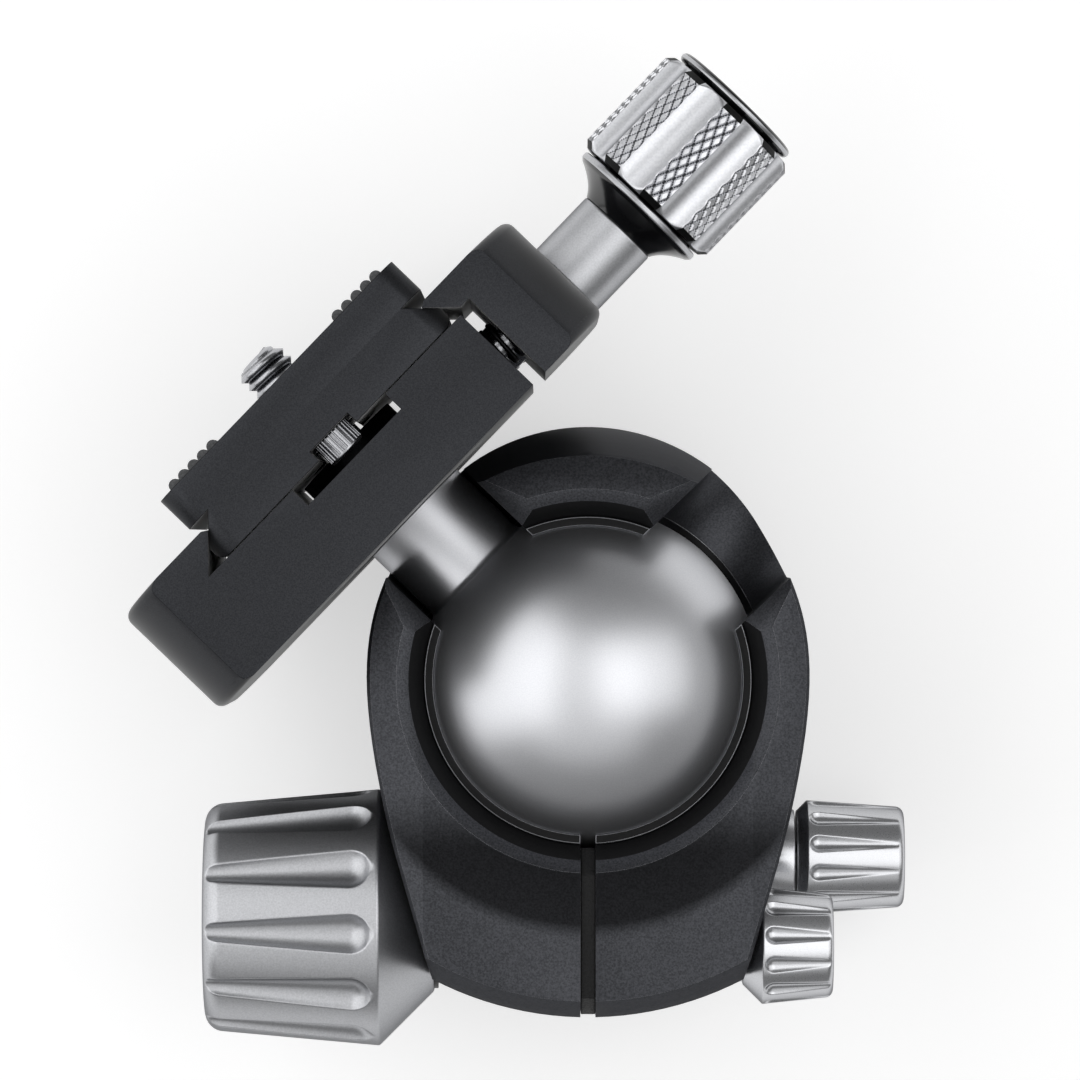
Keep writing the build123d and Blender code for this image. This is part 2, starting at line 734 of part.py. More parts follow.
# ---- fluted knobs: a tapered body with a cone back and a ring of ball-ended, narrowing flutes
def fluted_body(axis_plane, ends, radii, edge_round, wide, narrow, phase):
    """Ends are (start, end) of the fluted face and radii are (inner, outer, back)."""
    start, end = ends
    inner, outer, back_radius = radii
    back = start - (inner - back_radius)

    def flute_place(cutter, distance):
        face = inner + (outer - inner) * (distance - start) / (end - start)
        return (face + cutter[0] - cutter[1], distance)

    wide_radius, wide_distance = flute_place(wide, start + wide[2])
    narrow_radius, narrow_distance = flute_place(narrow, end - narrow[2])
    run = narrow_distance - wide_distance
    lean = degrees(atan((narrow_radius - wide_radius) / run))
    with BuildSketch(section_of(axis_plane)) as body:
        with BuildLine():
            Polyline((back, 0), (back, back_radius), (start, inner), (end, outer), (end, 0),
                     close=True)
        make_face()
    revolve(body.sketch, axis=axis_of(axis_plane))
    fillet(edges().sort_by(axis_of(axis_plane))[-1], edge_round)
    with PolarLocations(wide_radius, flute_count, start_angle=phase):
        with Locations(Location((0, 0, wide_distance), (0, lean, 0))):
            Cone(wide[0], narrow[0], run / cos(radians(lean)),
                 align=(Align.CENTER, Align.CENTER, Align.MIN), mode=Mode.SUBTRACT)
            Sphere(wide[0], mode=Mode.SUBTRACT)


main_screw_end = main_end - main_screw_cover
with BuildPart(main_axis) as main_knob:
    fluted_body(main_axis, (main_start, main_end),
                (main_inner_radius, main_outer_radius, main_back_radius),
                main_edge_round, main_flute_wide, main_flute_narrow, main_flute_phase)
    cut_hole(main_axis, main_back, main_screw_end, main_screw_radius + seated_fit)
    cut_hole(main_axis, main_end - main_cap_sink, main_end, main_cap_radius + seated_fit)
main_knob.part.label = "main_knob"
export_step(main_knob.part, "parts/main_knob.step")

with BuildPart() as main_screw:
    turn(
        rod_outline(-main_screw_tip, main_screw_end - seated_fit, main_screw_radius), main_axis
    )
main_screw.part.label = "main_screw"
export_step(main_screw.part, "parts/main_screw.step")

with BuildPart() as main_washer:
    turn(
        ring_outline(main_floor, main_floor + main_washer_thickness,
                     main_screw_radius + clear_gap, main_back_radius - washer_inset),
        main_axis,
    )
main_washer.part.label = "main_washer"
export_step(main_washer.part, "parts/main_washer.step")

with BuildPart() as main_knob_cap:
    turn(
        rod_outline(main_end - main_cap_sink, main_end - main_cap_sink + main_cap_thickness,
                    main_cap_radius),
        main_axis,
    )
main_knob_cap.part.label = "main_knob_cap"
export_step(main_knob_cap.part, "parts/main_knob_cap.step")

friction_screw_end = friction_end - friction_screw_cover
with BuildPart(friction_axis) as friction_knob:
    fluted_body(friction_axis, (friction_start, friction_end),
                (friction_inner_radius, friction_outer_radius, friction_back_radius),
                friction_edge_round, small_flute_wide, friction_flute_narrow, friction_flute_phase)
    cut_hole(friction_axis, friction_back, friction_screw_end, friction_screw_radius + seated_fit)
friction_knob.part.label = "friction_knob"
export_step(friction_knob.part, "parts/friction_knob.step")

with BuildPart() as friction_screw:
    turn(
        rod_outline(-friction_screw_tip, friction_screw_end - seated_fit, friction_screw_radius),
        friction_axis,
    )
friction_screw.part.label = "friction_screw"
export_step(friction_screw.part, "parts/friction_screw.step")

with BuildPart() as friction_springs:
    turn(
        ring_outline(friction_floor, friction_floor + friction_spring_height,
                     friction_screw_radius + clear_gap, friction_back_radius - washer_inset),
        friction_axis,
    )
friction_springs.part.label = "friction_springs"
export_step(friction_springs.part, "parts/friction_springs.step")

pan_screw_end = pan_end - pan_screw_cover
with BuildPart(pan_axis) as pan_knob:
    fluted_body(pan_axis, (pan_start, pan_end),
                (pan_inner_radius, pan_outer_radius, pan_back_radius),
                pan_edge_round, small_flute_wide, pan_flute_narrow, pan_flute_phase)
    cut_hole(pan_axis, pan_back, pan_screw_end, pan_screw_radius + seated_fit)
pan_knob.part.label = "pan_knob"
export_step(pan_knob.part, "parts/pan_knob.step")

with BuildPart() as pan_screw:
    turn(
        rod_outline(pan_screw_tip, pan_screw_end - seated_fit, pan_screw_radius), pan_axis
    )
pan_screw.part.label = "pan_screw"
export_step(pan_screw.part, "parts/pan_screw.step")

# ---- ball, its core and its neck
with BuildPart() as ball:
    with BuildSketch(section_of(neck_axis)):
        with BuildLine():
            flat_edge = sqrt(ball_radius**2 - ball_flat**2)
            ThreePointArc((-ball_radius, 0), (0, ball_radius), (ball_flat, flat_edge))
            Polyline((ball_flat, flat_edge), (ball_flat, 0), (-ball_radius, 0))
        make_face()
    revolve(axis=axis_of(neck_axis))
    with BuildSketch(section_of(neck_axis)):
        with BuildLine():
            hollow = core_radius + clear_gap
            ThreePointArc((-hollow, 0), (0, hollow), (hollow, 0))
            Line((hollow, 0), (-hollow, 0))
        make_face()
    revolve(axis=axis_of(neck_axis), mode=Mode.SUBTRACT)
    cut_hole(neck_axis, ball_flat - neck_spigot_depth, ball_flat, neck_spigot_radius + seated_fit)
ball.part.label = "ball"
export_step(ball.part, "parts/ball.step")

with BuildPart() as ball_core:
    with BuildSketch(section_plane):
        with BuildLine():
            ThreePointArc((-core_radius, 0), (0, core_radius), (core_radius, 0))
            Line((core_radius, 0), (-core_radius, 0))
        make_face()
    revolve(axis=Axis(ball_centre, u_dir))
ball_core.part.label = "ball_core"
export_step(ball_core.part, "parts/ball_core.step")

centre_screw_tip = clamp_reach - centre_screw_depth
with BuildPart() as ball_stem:
    turn(
        [(ball_flat - neck_spigot_depth, 0), (ball_flat - neck_spigot_depth, neck_spigot_radius),
         (ball_flat, neck_spigot_radius), (ball_flat, neck_radius), (clamp_reach, neck_radius),
         (clamp_reach, centre_screw_radius + turning_fit),
         (centre_screw_tip - 1, centre_screw_radius + turning_fit), (centre_screw_tip - 1, 0)],
        neck_axis,
    )
ball_stem.part.label = "ball_stem"
export_step(ball_stem.part, "parts/ball_stem.step")

# ---- screw clamp: the base with its fixed lip, and the sliding jaw
guide_reach_out = clamp_half_width - jaw_side - guide_wall


def clamp_block(section):
    """Clamp section extruded along w, trimmed to a plan with large round corners at both ends."""
    with BuildSketch(section_plane) as profile:
        with BuildLine():
            Polyline(*section, close=True)
        make_face()
    extrude(profile.sketch, amount=clamp_length / 2, both=True)
    end, side = clamp_end_half_width, clamp_half_width
    half, flat = clamp_length / 2, clamp_flat_half_length
    with BuildSketch(neck_axis.offset(clamp_reach - 1)) as plan:
        with BuildLine():
            Line((0, half), (-end, half))
            TangentArc((-side, flat), (-end, half), tangent=(0, 1))
            Line((-side, flat), (-side, -flat))
            TangentArc((-side, -flat), (-end, -half), tangent=(0, -1))
            Line((-end, -half), (0, -half))
            mirror(about=Plane.YZ)
        make_face()
    extrude(plan.sketch, amount=through, mode=Mode.INTERSECT)


def outer_rims(piece, side):
    """Edges round the clamp's curved side face, apart from those that run across the clamp's height."""
    faces = [f for f in piece.faces()
             if side * section_plane.to_local_coords(f.center()).X > clamp_end_half_width]
    return [e for f in faces for e in f.edges() if abs((e % 0.5).dot(v_dir)) < 0.5]


with BuildPart() as clamp_base:
    clamp_block([
        (-through, clamp_reach), (base_side, clamp_reach), (base_side, groove_floor),
        (channel_half_width, groove_floor), (channel_half_width, channel_floor),
        (-channel_half_width, channel_floor), (-channel_half_width, groove_floor),
        (groove_floor - flank_sum, groove_floor), (lip_corner - flank_sum, lip_corner),
        (-lip_half_width, clamp_top), (-through, clamp_top),
    ])
    fillet(outer_rims(clamp_base, -1), clamp_edge_round)
    with BuildSketch(neck_axis.offset(channel_floor - 1)):
        Circle(boss_radius)
    extrude(amount=boss_top - channel_floor + 1)
    cut_hole(neck_axis, clamp_reach, boss_top, centre_screw_radius + turning_fit)
    cut_hole(neck_axis, boss_top - centre_head_height, boss_top, centre_head_radius + turning_fit)
    cut_hole(knob_axis, base_side - clamp_screw_reach_in - 1, base_side,
             clamp_screw_radius + turning_fit)
    with BuildSketch(knob_axis.offset(base_side)):
        with Locations((guide_spread, 0), (-guide_spread, 0)):
            Circle(guide_radius + seated_fit)
    extrude(amount=-guide_reach_in, mode=Mode.SUBTRACT)
    with BuildSketch(knob_axis.offset(base_side)):
        with Locations((guide_spread, 0), (-guide_spread, 0)):
            Circle(jaw_spring_radius + clear_gap / 2)
    extrude(amount=-jaw_spring_pocket_in, mode=Mode.SUBTRACT)
clamp_base.part.label = "clamp_base"
export_step(clamp_base.part, "parts/clamp_base.step")

with BuildPart() as jaw:
    clamp_block([
        (jaw_side, clamp_reach), (through, clamp_reach), (through, clamp_top),
        (lip_half_width, clamp_top), (flank_sum - lip_corner, lip_corner),
        (flank_sum - jaw_step, jaw_step), (jaw_side, jaw_step),
    ])
    fillet(outer_rims(jaw, 1), clamp_edge_round)
    cut_hole(knob_axis, jaw_side, through, clamp_screw_radius + clear_gap)
    with BuildSketch(knob_axis.offset(jaw_side)):
        with Locations((guide_spread, 0), (-guide_spread, 0)):
            Circle(guide_radius + turning_fit)
    extrude(amount=guide_reach_out + guide_end_gap, mode=Mode.SUBTRACT)
    with BuildSketch(knob_axis.offset(jaw_side)):
        with Locations((guide_spread, 0), (-guide_spread, 0)):
            Circle(jaw_spring_radius + clear_gap / 2)
    extrude(amount=jaw_spring_pocket_out, mode=Mode.SUBTRACT)
jaw.part.label = "jaw"
export_step(jaw.part, "parts/jaw.step")

with BuildPart() as centre_screw:
    turn(
        cap_screw_outline(boss_top, boss_top - centre_head_height, centre_screw_tip,
                          centre_head_radius, centre_screw_radius),
        neck_axis,
    )
centre_screw.part.label = "centre_screw"
export_step(centre_screw.part, "parts/centre_screw.step")

guide_axes = [
    Plane(knob_axis.origin + Vector(0, 0, w), x_dir=(0, 0, 1), z_dir=u_dir)
    for w in (guide_spread, -guide_spread)
]
with BuildPart() as guide_pins:
    turn(
        rod_outline(base_side - guide_reach_in, jaw_side + guide_reach_out, guide_radius),
        *guide_axes,
    )
guide_pins.part.label = "guide_pins"
export_step(guide_pins.part, "parts/guide_pins.step")

with BuildPart() as jaw_springs:
    turn(
        ring_outline(base_side - jaw_spring_pocket_in, jaw_side + jaw_spring_pocket_out,
                     jaw_spring_radius - jaw_spring_wire, jaw_spring_radius),
        *guide_axes,
    )
jaw_springs.part.label = "jaw_springs"
export_step(jaw_springs.part, "parts/jaw_springs.step")

# ---- clamp knob: screw, sleeve, flange, grip and cap, all on the axis of the screw
with BuildPart() as clamp_screw:
    turn(
        rod_outline(base_side - clamp_screw_reach_in, grip_start + clamp_screw_grip,
                    clamp_screw_radius),
        knob_axis,
    )
clamp_screw.part.label = "clamp_screw"
export_step(clamp_screw.part, "parts/clamp_screw.step")

sleeve_core_end = grip_start + sleeve_core_grip
screw_hole_radius = clamp_screw_radius + seated_fit
with BuildPart() as knob_boss:
    turn(
        [(clamp_half_width, screw_hole_radius), (clamp_half_width, boss_sleeve_radius),
         (boss_sleeve_end, boss_sleeve_radius), (boss_sleeve_end, sleeve_core_radius),
         (sleeve_core_end, sleeve_core_radius), (sleeve_core_end, screw_hole_radius)],
        knob_axis,
    )
knob_boss.part.label = "knob_boss"
export_step(knob_boss.part, "parts/knob_boss.step")

core_hole_radius = sleeve_core_radius + seated_fit
flare = (flange_flare_end - boss_sleeve_end, flange_radius - boss_sleeve_radius)
with BuildPart() as knob_flange:
    with BuildSketch(section_of(knob_axis)):
        with BuildLine():
            ThreePointArc(
                (boss_sleeve_end, boss_sleeve_radius),
                (boss_sleeve_end + flange_bulge[0] * flare[0],
                 boss_sleeve_radius + flange_bulge[1] * flare[1]),
                (flange_flare_end, flange_radius),
            )
            Polyline((flange_flare_end, flange_radius), (flange_rim_end, flange_radius),
                     (flange_rim_end, flange_neck_radius), (grip_start, flange_neck_radius),
                     (grip_start, core_hole_radius), (boss_sleeve_end, core_hole_radius),
                     (boss_sleeve_end, boss_sleeve_radius))
        make_face()
    revolve(axis=axis_of(knob_axis))
knob_flange.part.label = "knob_flange"
export_step(knob_flange.part, "parts/knob_flange.step")

with BuildPart() as knob_grip:
    with BuildSketch(knob_axis.offset(grip_start)):
        Circle(grip_radius)
        Circle(core_hole_radius, mode=Mode.SUBTRACT)
        with PolarLocations(grip_radius + grip_flute_radius - grip_flute_depth, grip_flute_count,
                            start_angle=180 / grip_flute_count):
            Circle(grip_flute_radius, mode=Mode.SUBTRACT)
    extrude(amount=grip_end - grip_start)
    with BuildSketch(section_of(knob_axis)):
        with BuildLine():
            rim = grip_radius - grip_edge_chamfer
            Polyline((grip_start, 0), (grip_start, rim), (grip_start + grip_edge_chamfer, grip_radius),
                     (grip_end - grip_edge_chamfer, grip_radius), (grip_end, rim), (grip_end, 0),
                     close=True)
        make_face()
    revolve(axis=axis_of(knob_axis), mode=Mode.INTERSECT)
knob_grip.part.label = "knob_grip"
export_step(knob_grip.part, "parts/knob_grip.step")

with BuildPart() as knob_cap:
    turn(
        rod_outline(grip_end, grip_end + knob_cap_thickness, knob_cap_radius, knob_cap_edge),
        knob_axis,
    )
knob_cap.part.label = "knob_cap"
export_step(knob_cap.part, "parts/knob_cap.step")

# ---- dovetail plate, its pads, stop screws, camera screw and twist pin
flank_foot = dovetail_sum - plate_half_width
flank_head = dovetail_sum - flange_underside
pin_hole_floor = plate_top + pin_proud - pin_length - pin_spring_length
right_side = [
    (plate_slot_half_width, plate_slot_top), (plate_slot_half_width, plate_bottom),
    (plate_half_width, plate_bottom), (plate_half_width, flank_foot), (flank_head, flange_underside),
    (flange_half_width, flange_underside), (flange_half_width, plate_top),
]
left_side = [(-u, v) for u, v in reversed(right_side)]

with BuildPart() as quick_plate:
    with BuildSketch(section_plane):
        with BuildLine():
            Polyline(*right_side, *left_side, close=True)
        make_face()
        fillet([c for c in vertices() if abs(c.X) > 0.9 * plate_half_width and c.Y == plate_bottom],
               plate_corner)
    extrude(amount=plate_length / 2, both=True)
    with BuildSketch(neck_axis.offset(plate_bottom)) as plan:
        RectangleRounded(2 * plate_half_width, plate_length, plate_end_round)
    extrude(plan.sketch, amount=plate_top - plate_bottom, mode=Mode.INTERSECT)
    with BuildSketch(neck_axis.offset(plate_top)):
        with Locations(((pad_inner + pad_outer) / 2, 0), (-(pad_inner + pad_outer) / 2, 0)):
            Rectangle(pad_outer - pad_inner + 2 * seated_fit, 2 * (pad_half_length + seated_fit))
    extrude(amount=-pad_sink, mode=Mode.SUBTRACT)
    cut_hole(neck_axis, plate_bottom, plate_top, camera_screw_radius + turning_fit)
    cut_hole(neck_axis, plate_bottom, camera_head_top, camera_head_radius + turning_fit)
    for w in (stop_screw_spread, -stop_screw_spread):
        cut_hole(clamp_axis(0, w), plate_bottom, plate_slot_top + stop_shank_length,
                 stop_shank_radius + seated_fit)
    cut_hole(clamp_axis(pin_u, pin_w), pin_hole_floor, plate_top, pin_radius + turning_fit)
quick_plate.part.label = "quick_plate"
export_step(quick_plate.part, "parts/quick_plate.step")

pad_pitch = (pad_outer - pad_inner) / pad_ridge_count
ridge_line = [(pad_inner + pad_pitch * i / 2, plate_top + pad_ridge_height * (i % 2))
              for i in range(2 * pad_ridge_count + 1)]
with BuildPart() as grip_pads:
    for side in (-1, 1):
        outline = [(pad_inner, plate_top - pad_sink), *ridge_line, (pad_outer, plate_top - pad_sink)]
        with BuildSketch(section_plane):
            with BuildLine():
                Polyline(*[(side * u, v) for u, v in outline], close=True)
            make_face()
        extrude(amount=pad_half_length, both=True)
grip_pads.part.label = "grip_pads"
export_step(grip_pads.part, "parts/grip_pads.step")

with BuildPart() as stop_screws:
    turn(
        cap_screw_outline(plate_slot_top - stop_head_height, plate_slot_top,
                          plate_slot_top + stop_shank_length - seated_fit,
                          stop_head_radius, stop_shank_radius),
        clamp_axis(0, stop_screw_spread), clamp_axis(0, -stop_screw_spread),
    )
stop_screws.part.label = "stop_screws"
export_step(stop_screws.part, "parts/stop_screws.step")

camera_screw_tip = plate_top + camera_screw_proud
camera_head_face = camera_head_top - camera_head_height
camera_seat = camera_head_top - turning_fit
with BuildPart() as camera_screw:
    turn(
        [(camera_head_face, 0), (camera_head_face, camera_head_radius),
         (camera_seat, camera_head_radius), (camera_seat, camera_neck_radius),
         (plate_top, camera_neck_radius), (plate_top, camera_screw_radius),
         (camera_screw_tip - camera_screw_edge, camera_screw_radius),
         (camera_screw_tip, camera_screw_radius - camera_screw_edge), (camera_screw_tip, 0)],
        neck_axis,
    )
    with BuildSketch(neck_axis.offset(camera_head_face)) as driver_slot:
        Rectangle(2 * camera_head_radius + 1, camera_slot_width)
    extrude(driver_slot.sketch, amount=camera_slot_depth, mode=Mode.SUBTRACT)
camera_screw.part.label = "camera_screw"
export_step(camera_screw.part, "parts/camera_screw.step")

pin_top = plate_top + pin_proud
with BuildPart() as twist_pin:
    turn(
        rod_outline(pin_top - pin_length, pin_top, pin_radius, pin_edge), clamp_axis(pin_u, pin_w)
    )
twist_pin.part.label = "twist_pin"
export_step(twist_pin.part, "parts/twist_pin.step")

with BuildPart() as pin_spring:
    turn(
        ring_outline(pin_hole_floor, pin_top - pin_length,
                     pin_radius - turning_fit - pin_spring_wire, pin_radius - turning_fit),
        clamp_axis(pin_u, pin_w),
    )
pin_spring.part.label = "pin_spring"
export_step(pin_spring.part, "parts/pin_spring.step")
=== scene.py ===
"""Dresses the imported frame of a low-profile tripod ball head: rounded edges, finishes, flutes,
knurls, threads and springs, and the studio that it stands in. Lengths are in metres."""
import json
from math import acos, cos, hypot, pi, radians, sin, sqrt

import bmesh
import bpy
from bpy.props import FloatProperty, FloatVectorProperty, IntProperty, PointerProperty
from mathutils import Matrix, Vector


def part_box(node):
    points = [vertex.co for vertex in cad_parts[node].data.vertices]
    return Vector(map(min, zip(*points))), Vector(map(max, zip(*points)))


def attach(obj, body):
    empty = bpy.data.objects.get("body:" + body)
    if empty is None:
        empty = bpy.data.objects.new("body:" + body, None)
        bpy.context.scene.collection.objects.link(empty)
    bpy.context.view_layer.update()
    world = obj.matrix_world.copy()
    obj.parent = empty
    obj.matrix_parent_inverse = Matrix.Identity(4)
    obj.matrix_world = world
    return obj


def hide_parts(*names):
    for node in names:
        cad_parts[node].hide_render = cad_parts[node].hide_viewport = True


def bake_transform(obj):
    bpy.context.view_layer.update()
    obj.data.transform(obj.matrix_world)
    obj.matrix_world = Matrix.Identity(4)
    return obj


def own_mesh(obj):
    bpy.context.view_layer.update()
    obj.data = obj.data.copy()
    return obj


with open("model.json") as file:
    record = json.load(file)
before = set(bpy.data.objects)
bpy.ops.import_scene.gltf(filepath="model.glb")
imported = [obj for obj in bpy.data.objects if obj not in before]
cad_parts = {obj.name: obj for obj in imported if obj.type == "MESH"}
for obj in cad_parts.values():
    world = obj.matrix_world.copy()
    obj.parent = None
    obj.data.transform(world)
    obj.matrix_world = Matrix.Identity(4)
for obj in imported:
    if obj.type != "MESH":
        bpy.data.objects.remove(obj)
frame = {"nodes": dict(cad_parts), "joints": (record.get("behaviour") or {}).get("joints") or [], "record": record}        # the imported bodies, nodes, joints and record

bl_info = {
    "name": "Tripod Ball Head",
    "version": (1, 0, 0),
    "blender": (4, 5, 0),
    "location": "View3D > Sidebar > Ball Head",
    "description": "Finishes for a tripod ball head with a screw clamp and a dovetail plate",
    "category": "Object",
}

MM = 0.001
INCH = 25.4 * MM
UP = Vector((0, 0, 1))
WELD = 0.002 * MM               # points of a CAD mesh that lie closer become one
FLAT_TURN = radians(0.2)        # faces of a CAD mesh that meet at less become one
SHARP_TURN = radians(20)        # corners of an outline that turn by less stay as they are
NO_RADIUS = 0.001 * MM          # points of an outline with less lie on its axis
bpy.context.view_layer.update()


# ---- places, all read from the frame
def joint(name):
    return next(j for j in frame["joints"] if j["name"] == name)


def place_on(origin, along, across):
    """Local axes at a point: z runs along a direction and x across it."""
    z = Vector(along).normalized()
    x = Vector(across).normalized()
    axes = Matrix((x, z.cross(x), z)).transposed().to_4x4()
    return Matrix.Translation(origin) @ axes


def joint_place(name):
    return place_on(joint(name)["pos_m"], joint(name)["axis"], UP)


BALL_CENTRE = Vector(joint("ball_tilt")["pos_m"])
CLAMP_U = Vector(joint("ball_tilt")["axis"])
CLAMP_V = Vector(joint("ball_spin")["axis"])
NECK = place_on(BALL_CENTRE, CLAMP_V, CLAMP_U)
CLAMP_KNOB = joint_place("clamp_knob_turn")
MAIN_KNOB = joint_place("main_knob_turn")
FRICTION_KNOB = joint_place("friction_knob_turn")
PAN_KNOB = joint_place("pan_knob_turn")
TRIPOD_THREAD = place_on((0, 0, 0), UP, (1, 0, 0))


def local_points(node, place):
    to_local = place.inverted()
    return [to_local @ v.co for v in frame["nodes"][node].data.vertices]


def reach(node, place):
    """Start, end and outer radius of a CAD node about a place's axis."""
    points = local_points(node, place)
    along = [p.z for p in points]
    return min(along), max(along), max(hypot(p.x, p.y) for p in points)


def span(node, place):
    """Lowest and highest corner of a CAD node in a place's own axes."""
    points = local_points(node, place)
    return tuple(Vector(side(p[i] for p in points) for i in range(3)) for side in (min, max))


# ---- sizes and colours that a user would change
def srgb(code):
    """Linear colour of an sRGB hex value such as #202224."""
    parts = [int(code[i:i + 2], 16) / 255 for i in (1, 3, 5)]
    return tuple(c / 12.92 if c <= 0.04045 else ((c + 0.055) / 1.055) ** 2.4 for c in parts)


def length(name, description, size, **limits):
    """A length that a user can change."""
    return FloatProperty(name=name, description=description, default=size, unit="LENGTH",
                         precision=5, **limits)


class EdgeSettings(bpy.types.PropertyGroup):
    body_edge: length("Body edge", "Rounding along the edges of the collar, clamp and plate",
                      0.22 * MM, min=0.02 * MM)
    small_edge: length("Small edge", "Rounding along the edges of bushes, rings and seals",
                       0.1 * MM, min=0.01 * MM)
    edge_turn: FloatProperty(
        name="Edge turn", description="Faces that meet at more than this angle get a rounded edge",
        default=radians(28), subtype="ANGLE")


class KnobSettings(bpy.types.PropertyGroup):
    flutes: IntProperty(
        name="Flutes", description="Finger flutes round each side knob", default=12, min=3)
    flute_edge: length("Flute edge", "Rounding where a flute meets the knob's face",
                       0.16 * MM, min=0.01 * MM)
    scallops: IntProperty(
        name="Scallops", description="Smooth scallops between the knurled bands of the clamp knob",
        default=9, min=3)
    scallop_radius: length("Scallop radius", "Radius of the cutter of one scallop", 3.2 * MM)
    scallop_depth: length("Scallop depth", "Depth of a scallop at its middle", 0.85 * MM)
    scallop_turn: FloatProperty(
        name="Scallop turn", description="Angle of the first scallop from the top of the knob",
        default=radians(-15.6), subtype="ANGLE")
    grip_chamfer: length("Grip chamfer", "Chamfer that ends the knurled bands of the clamp knob",
                         0.75 * MM)
    knurl_depth: length("Knurl depth", "Depth of the grooves between the knurl's diamonds",
                        0.3 * MM)
    knurl_steps: IntProperty(
        name="Knurl steps", description="Half diamonds across one knurled band", default=5, min=2)
    knurl_length: length("Diamond length", "Length of a knurl diamond along the knob", 2.2 * MM)


class PlateSettings(bpy.types.PropertyGroup):
    thread_pitch: length("Camera thread", "Pitch of the camera screw's thread", INCH / 20)
    pad_ridges: IntProperty(
        name="Pad ridges", description="Ridges on each grip pad", default=5, min=1)
    head_ridges: IntProperty(
        name="Head ridges", description="Knurl ridges round a stop screw's head", default=26, min=6)


class StudioSettings(bpy.types.PropertyGroup):
    floor_colour: FloatVectorProperty(
        name="Floor", description="Colour of the floor", subtype="COLOR", size=3,
        default=srgb("#D2D2D2"), min=0, max=1)
    floor_lift: FloatProperty(
        name="Floor lift", description="Brightness that the eye and reflections add to the floor",
        default=0.5, min=0)
    surround: FloatProperty(
        name="Surround", description="Brightness of the room round the floor", default=0.18, min=0)
    lens_angle: FloatProperty(
        name="Lens angle", description="Angle of view of the camera",
        default=0.13977, subtype="ANGLE")


class BallHeadSettings(bpy.types.PropertyGroup):
    edges: PointerProperty(type=EdgeSettings)
    knobs: PointerProperty(type=KnobSettings)
    plate: PointerProperty(type=PlateSettings)
    studio: PointerProperty(type=StudioSettings)


def settings():
    return bpy.context.scene.ball_head


# ---- nodes and materials
def add(tree, kind, inputs=None, **options):
    """Adds a node with its options set; an input takes a value or another node's output."""
    made = tree.nodes.new(kind)
    for name, value in options.items():
        setattr(made, name, value)
    for name, value in (inputs or {}).items():
        if isinstance(value, bpy.types.NodeSocket):
            tree.links.new(value, made.inputs[name])
        else:
            made.inputs[name].default_value = value
    return made


def finish(recipe):
    """The material that a recipe makes, named after it and made once."""
    made = bpy.data.materials.get(recipe.__name__)
    if made is None:
        made = bpy.data.materials.new(recipe.__name__)
        made.use_nodes = True
        recipe(made.node_tree, made.node_tree.nodes["Principled BSDF"])
    return made


def grain(tree, size, detail):
    """Noise over the object with grains of a size in metres."""
    noise = add(tree, "ShaderNodeTexNoise", {
        "Vector": add(tree, "ShaderNodeTexCoord").outputs["Object"],
        "Scale": 1 / size, "Detail": detail, "Roughness": 0.6})
    return noise.outputs["Fac"]


def remap(tree, value, start, end, low, high, **options):
    """Runs from low to high while a value runs from start to end."""
    made = add(tree, "ShaderNodeMapRange", {
        "Value": value, "From Min": start, "From Max": end, "To Min": low, "To Max": high},
        **options)
    return made.outputs["Result"]


def ramp(tree, factor, stops):
    """Colour that runs through stops of (position, linear colour)."""
    made = add(tree, "ShaderNodeValToRGB", {"Fac": factor})
    held = made.color_ramp.elements
    held[0].position, held[1].position = stops[0][0], stops[-1][0]
    for position, _ in stops[1:-1]:
        held.new(position)
    for stop, (_, colour) in zip(held, stops):
        stop.color = (*colour, 1)
    return made.outputs["Color"]


def surface(tree, shader, size, colours, roughness, bump=None, detail=2.0, kind=None):
    """One noise, with grains of a size in mm, drives a finish: its colour between two colours,
    its roughness between two values and, with a depth in mm and a strength, its bump. The kind
    holds the shader's other inputs."""
    marks = grain(tree, size * MM, detail)
    colour = ramp(tree, marks, list(zip((0.35, 0.65), map(srgb, colours))))
    tree.links.new(colour, shader.inputs["Base Color"])
    tree.links.new(remap(tree, marks, 0.0, 1.0, *roughness), shader.inputs["Roughness"])
    if bump:
        grains = add(tree, "ShaderNodeBump", {
            "Height": marks, "Distance": bump[0] * MM, "Strength": bump[1]})
        tree.links.new(grains.outputs["Normal"], shader.inputs["Normal"])
    for name, value in (kind or {}).items():
        shader.inputs[name].default_value = value


# dyed oxide over metal: it shines like metal from above and stays dark at a slant
DARK_METAL = {"Metallic": 0.85, "Specular Tint": (0.4, 0.4, 0.4, 1), "Specular IOR Level": 0.4}
# clear oxide over bare metal: full reflections that fade where the surface turns away
CLEAR_METAL = {"Metallic": 1.0, "Specular Tint": (0.2, 0.2, 0.2, 1)}
BARE_METAL = {"Metallic": 1.0}

# the collar's shading, painted shadow and painted shade, in distances from the ball's axis
FACE_FALL = 0.34                        # slope of its faces outwards, which only the light sees
FALL_SPAN = (19 * MM, 39 * MM)          # the faces fall between these
PAINTED_SHADOW_SPAN = (20 * MM, 32 * MM)          # the painted shadow's stops are shares of this span
PAINTED_SHADOW_STOPS = ((0.165, 1.0), (0.185, 0.2), (0.67, 0.24), (0.8, 1.0))     # (share, brightness)
CHIN_SPAN = (-20 * MM, -12 * MM)        # the painted shadow fades out from front to back between these
BORE_HEIGHTS = (7 * MM, 11.55 * MM)     # painted shade: near-black wall round the liner, above the ball's centre
BORE_RADII = (18.6 * MM, 20.8 * MM)


def blasted_black_anodised_aluminium(tree, shader):
    """Bead-blasted and dyed black: dark metal with a fine sparkle that turns black at its sides."""
    surface(tree, shader, 0.22, ("#37383B", "#4C4D51"), (0.36, 0.5), (0.012, 0.6), 3.0, DARK_METAL)


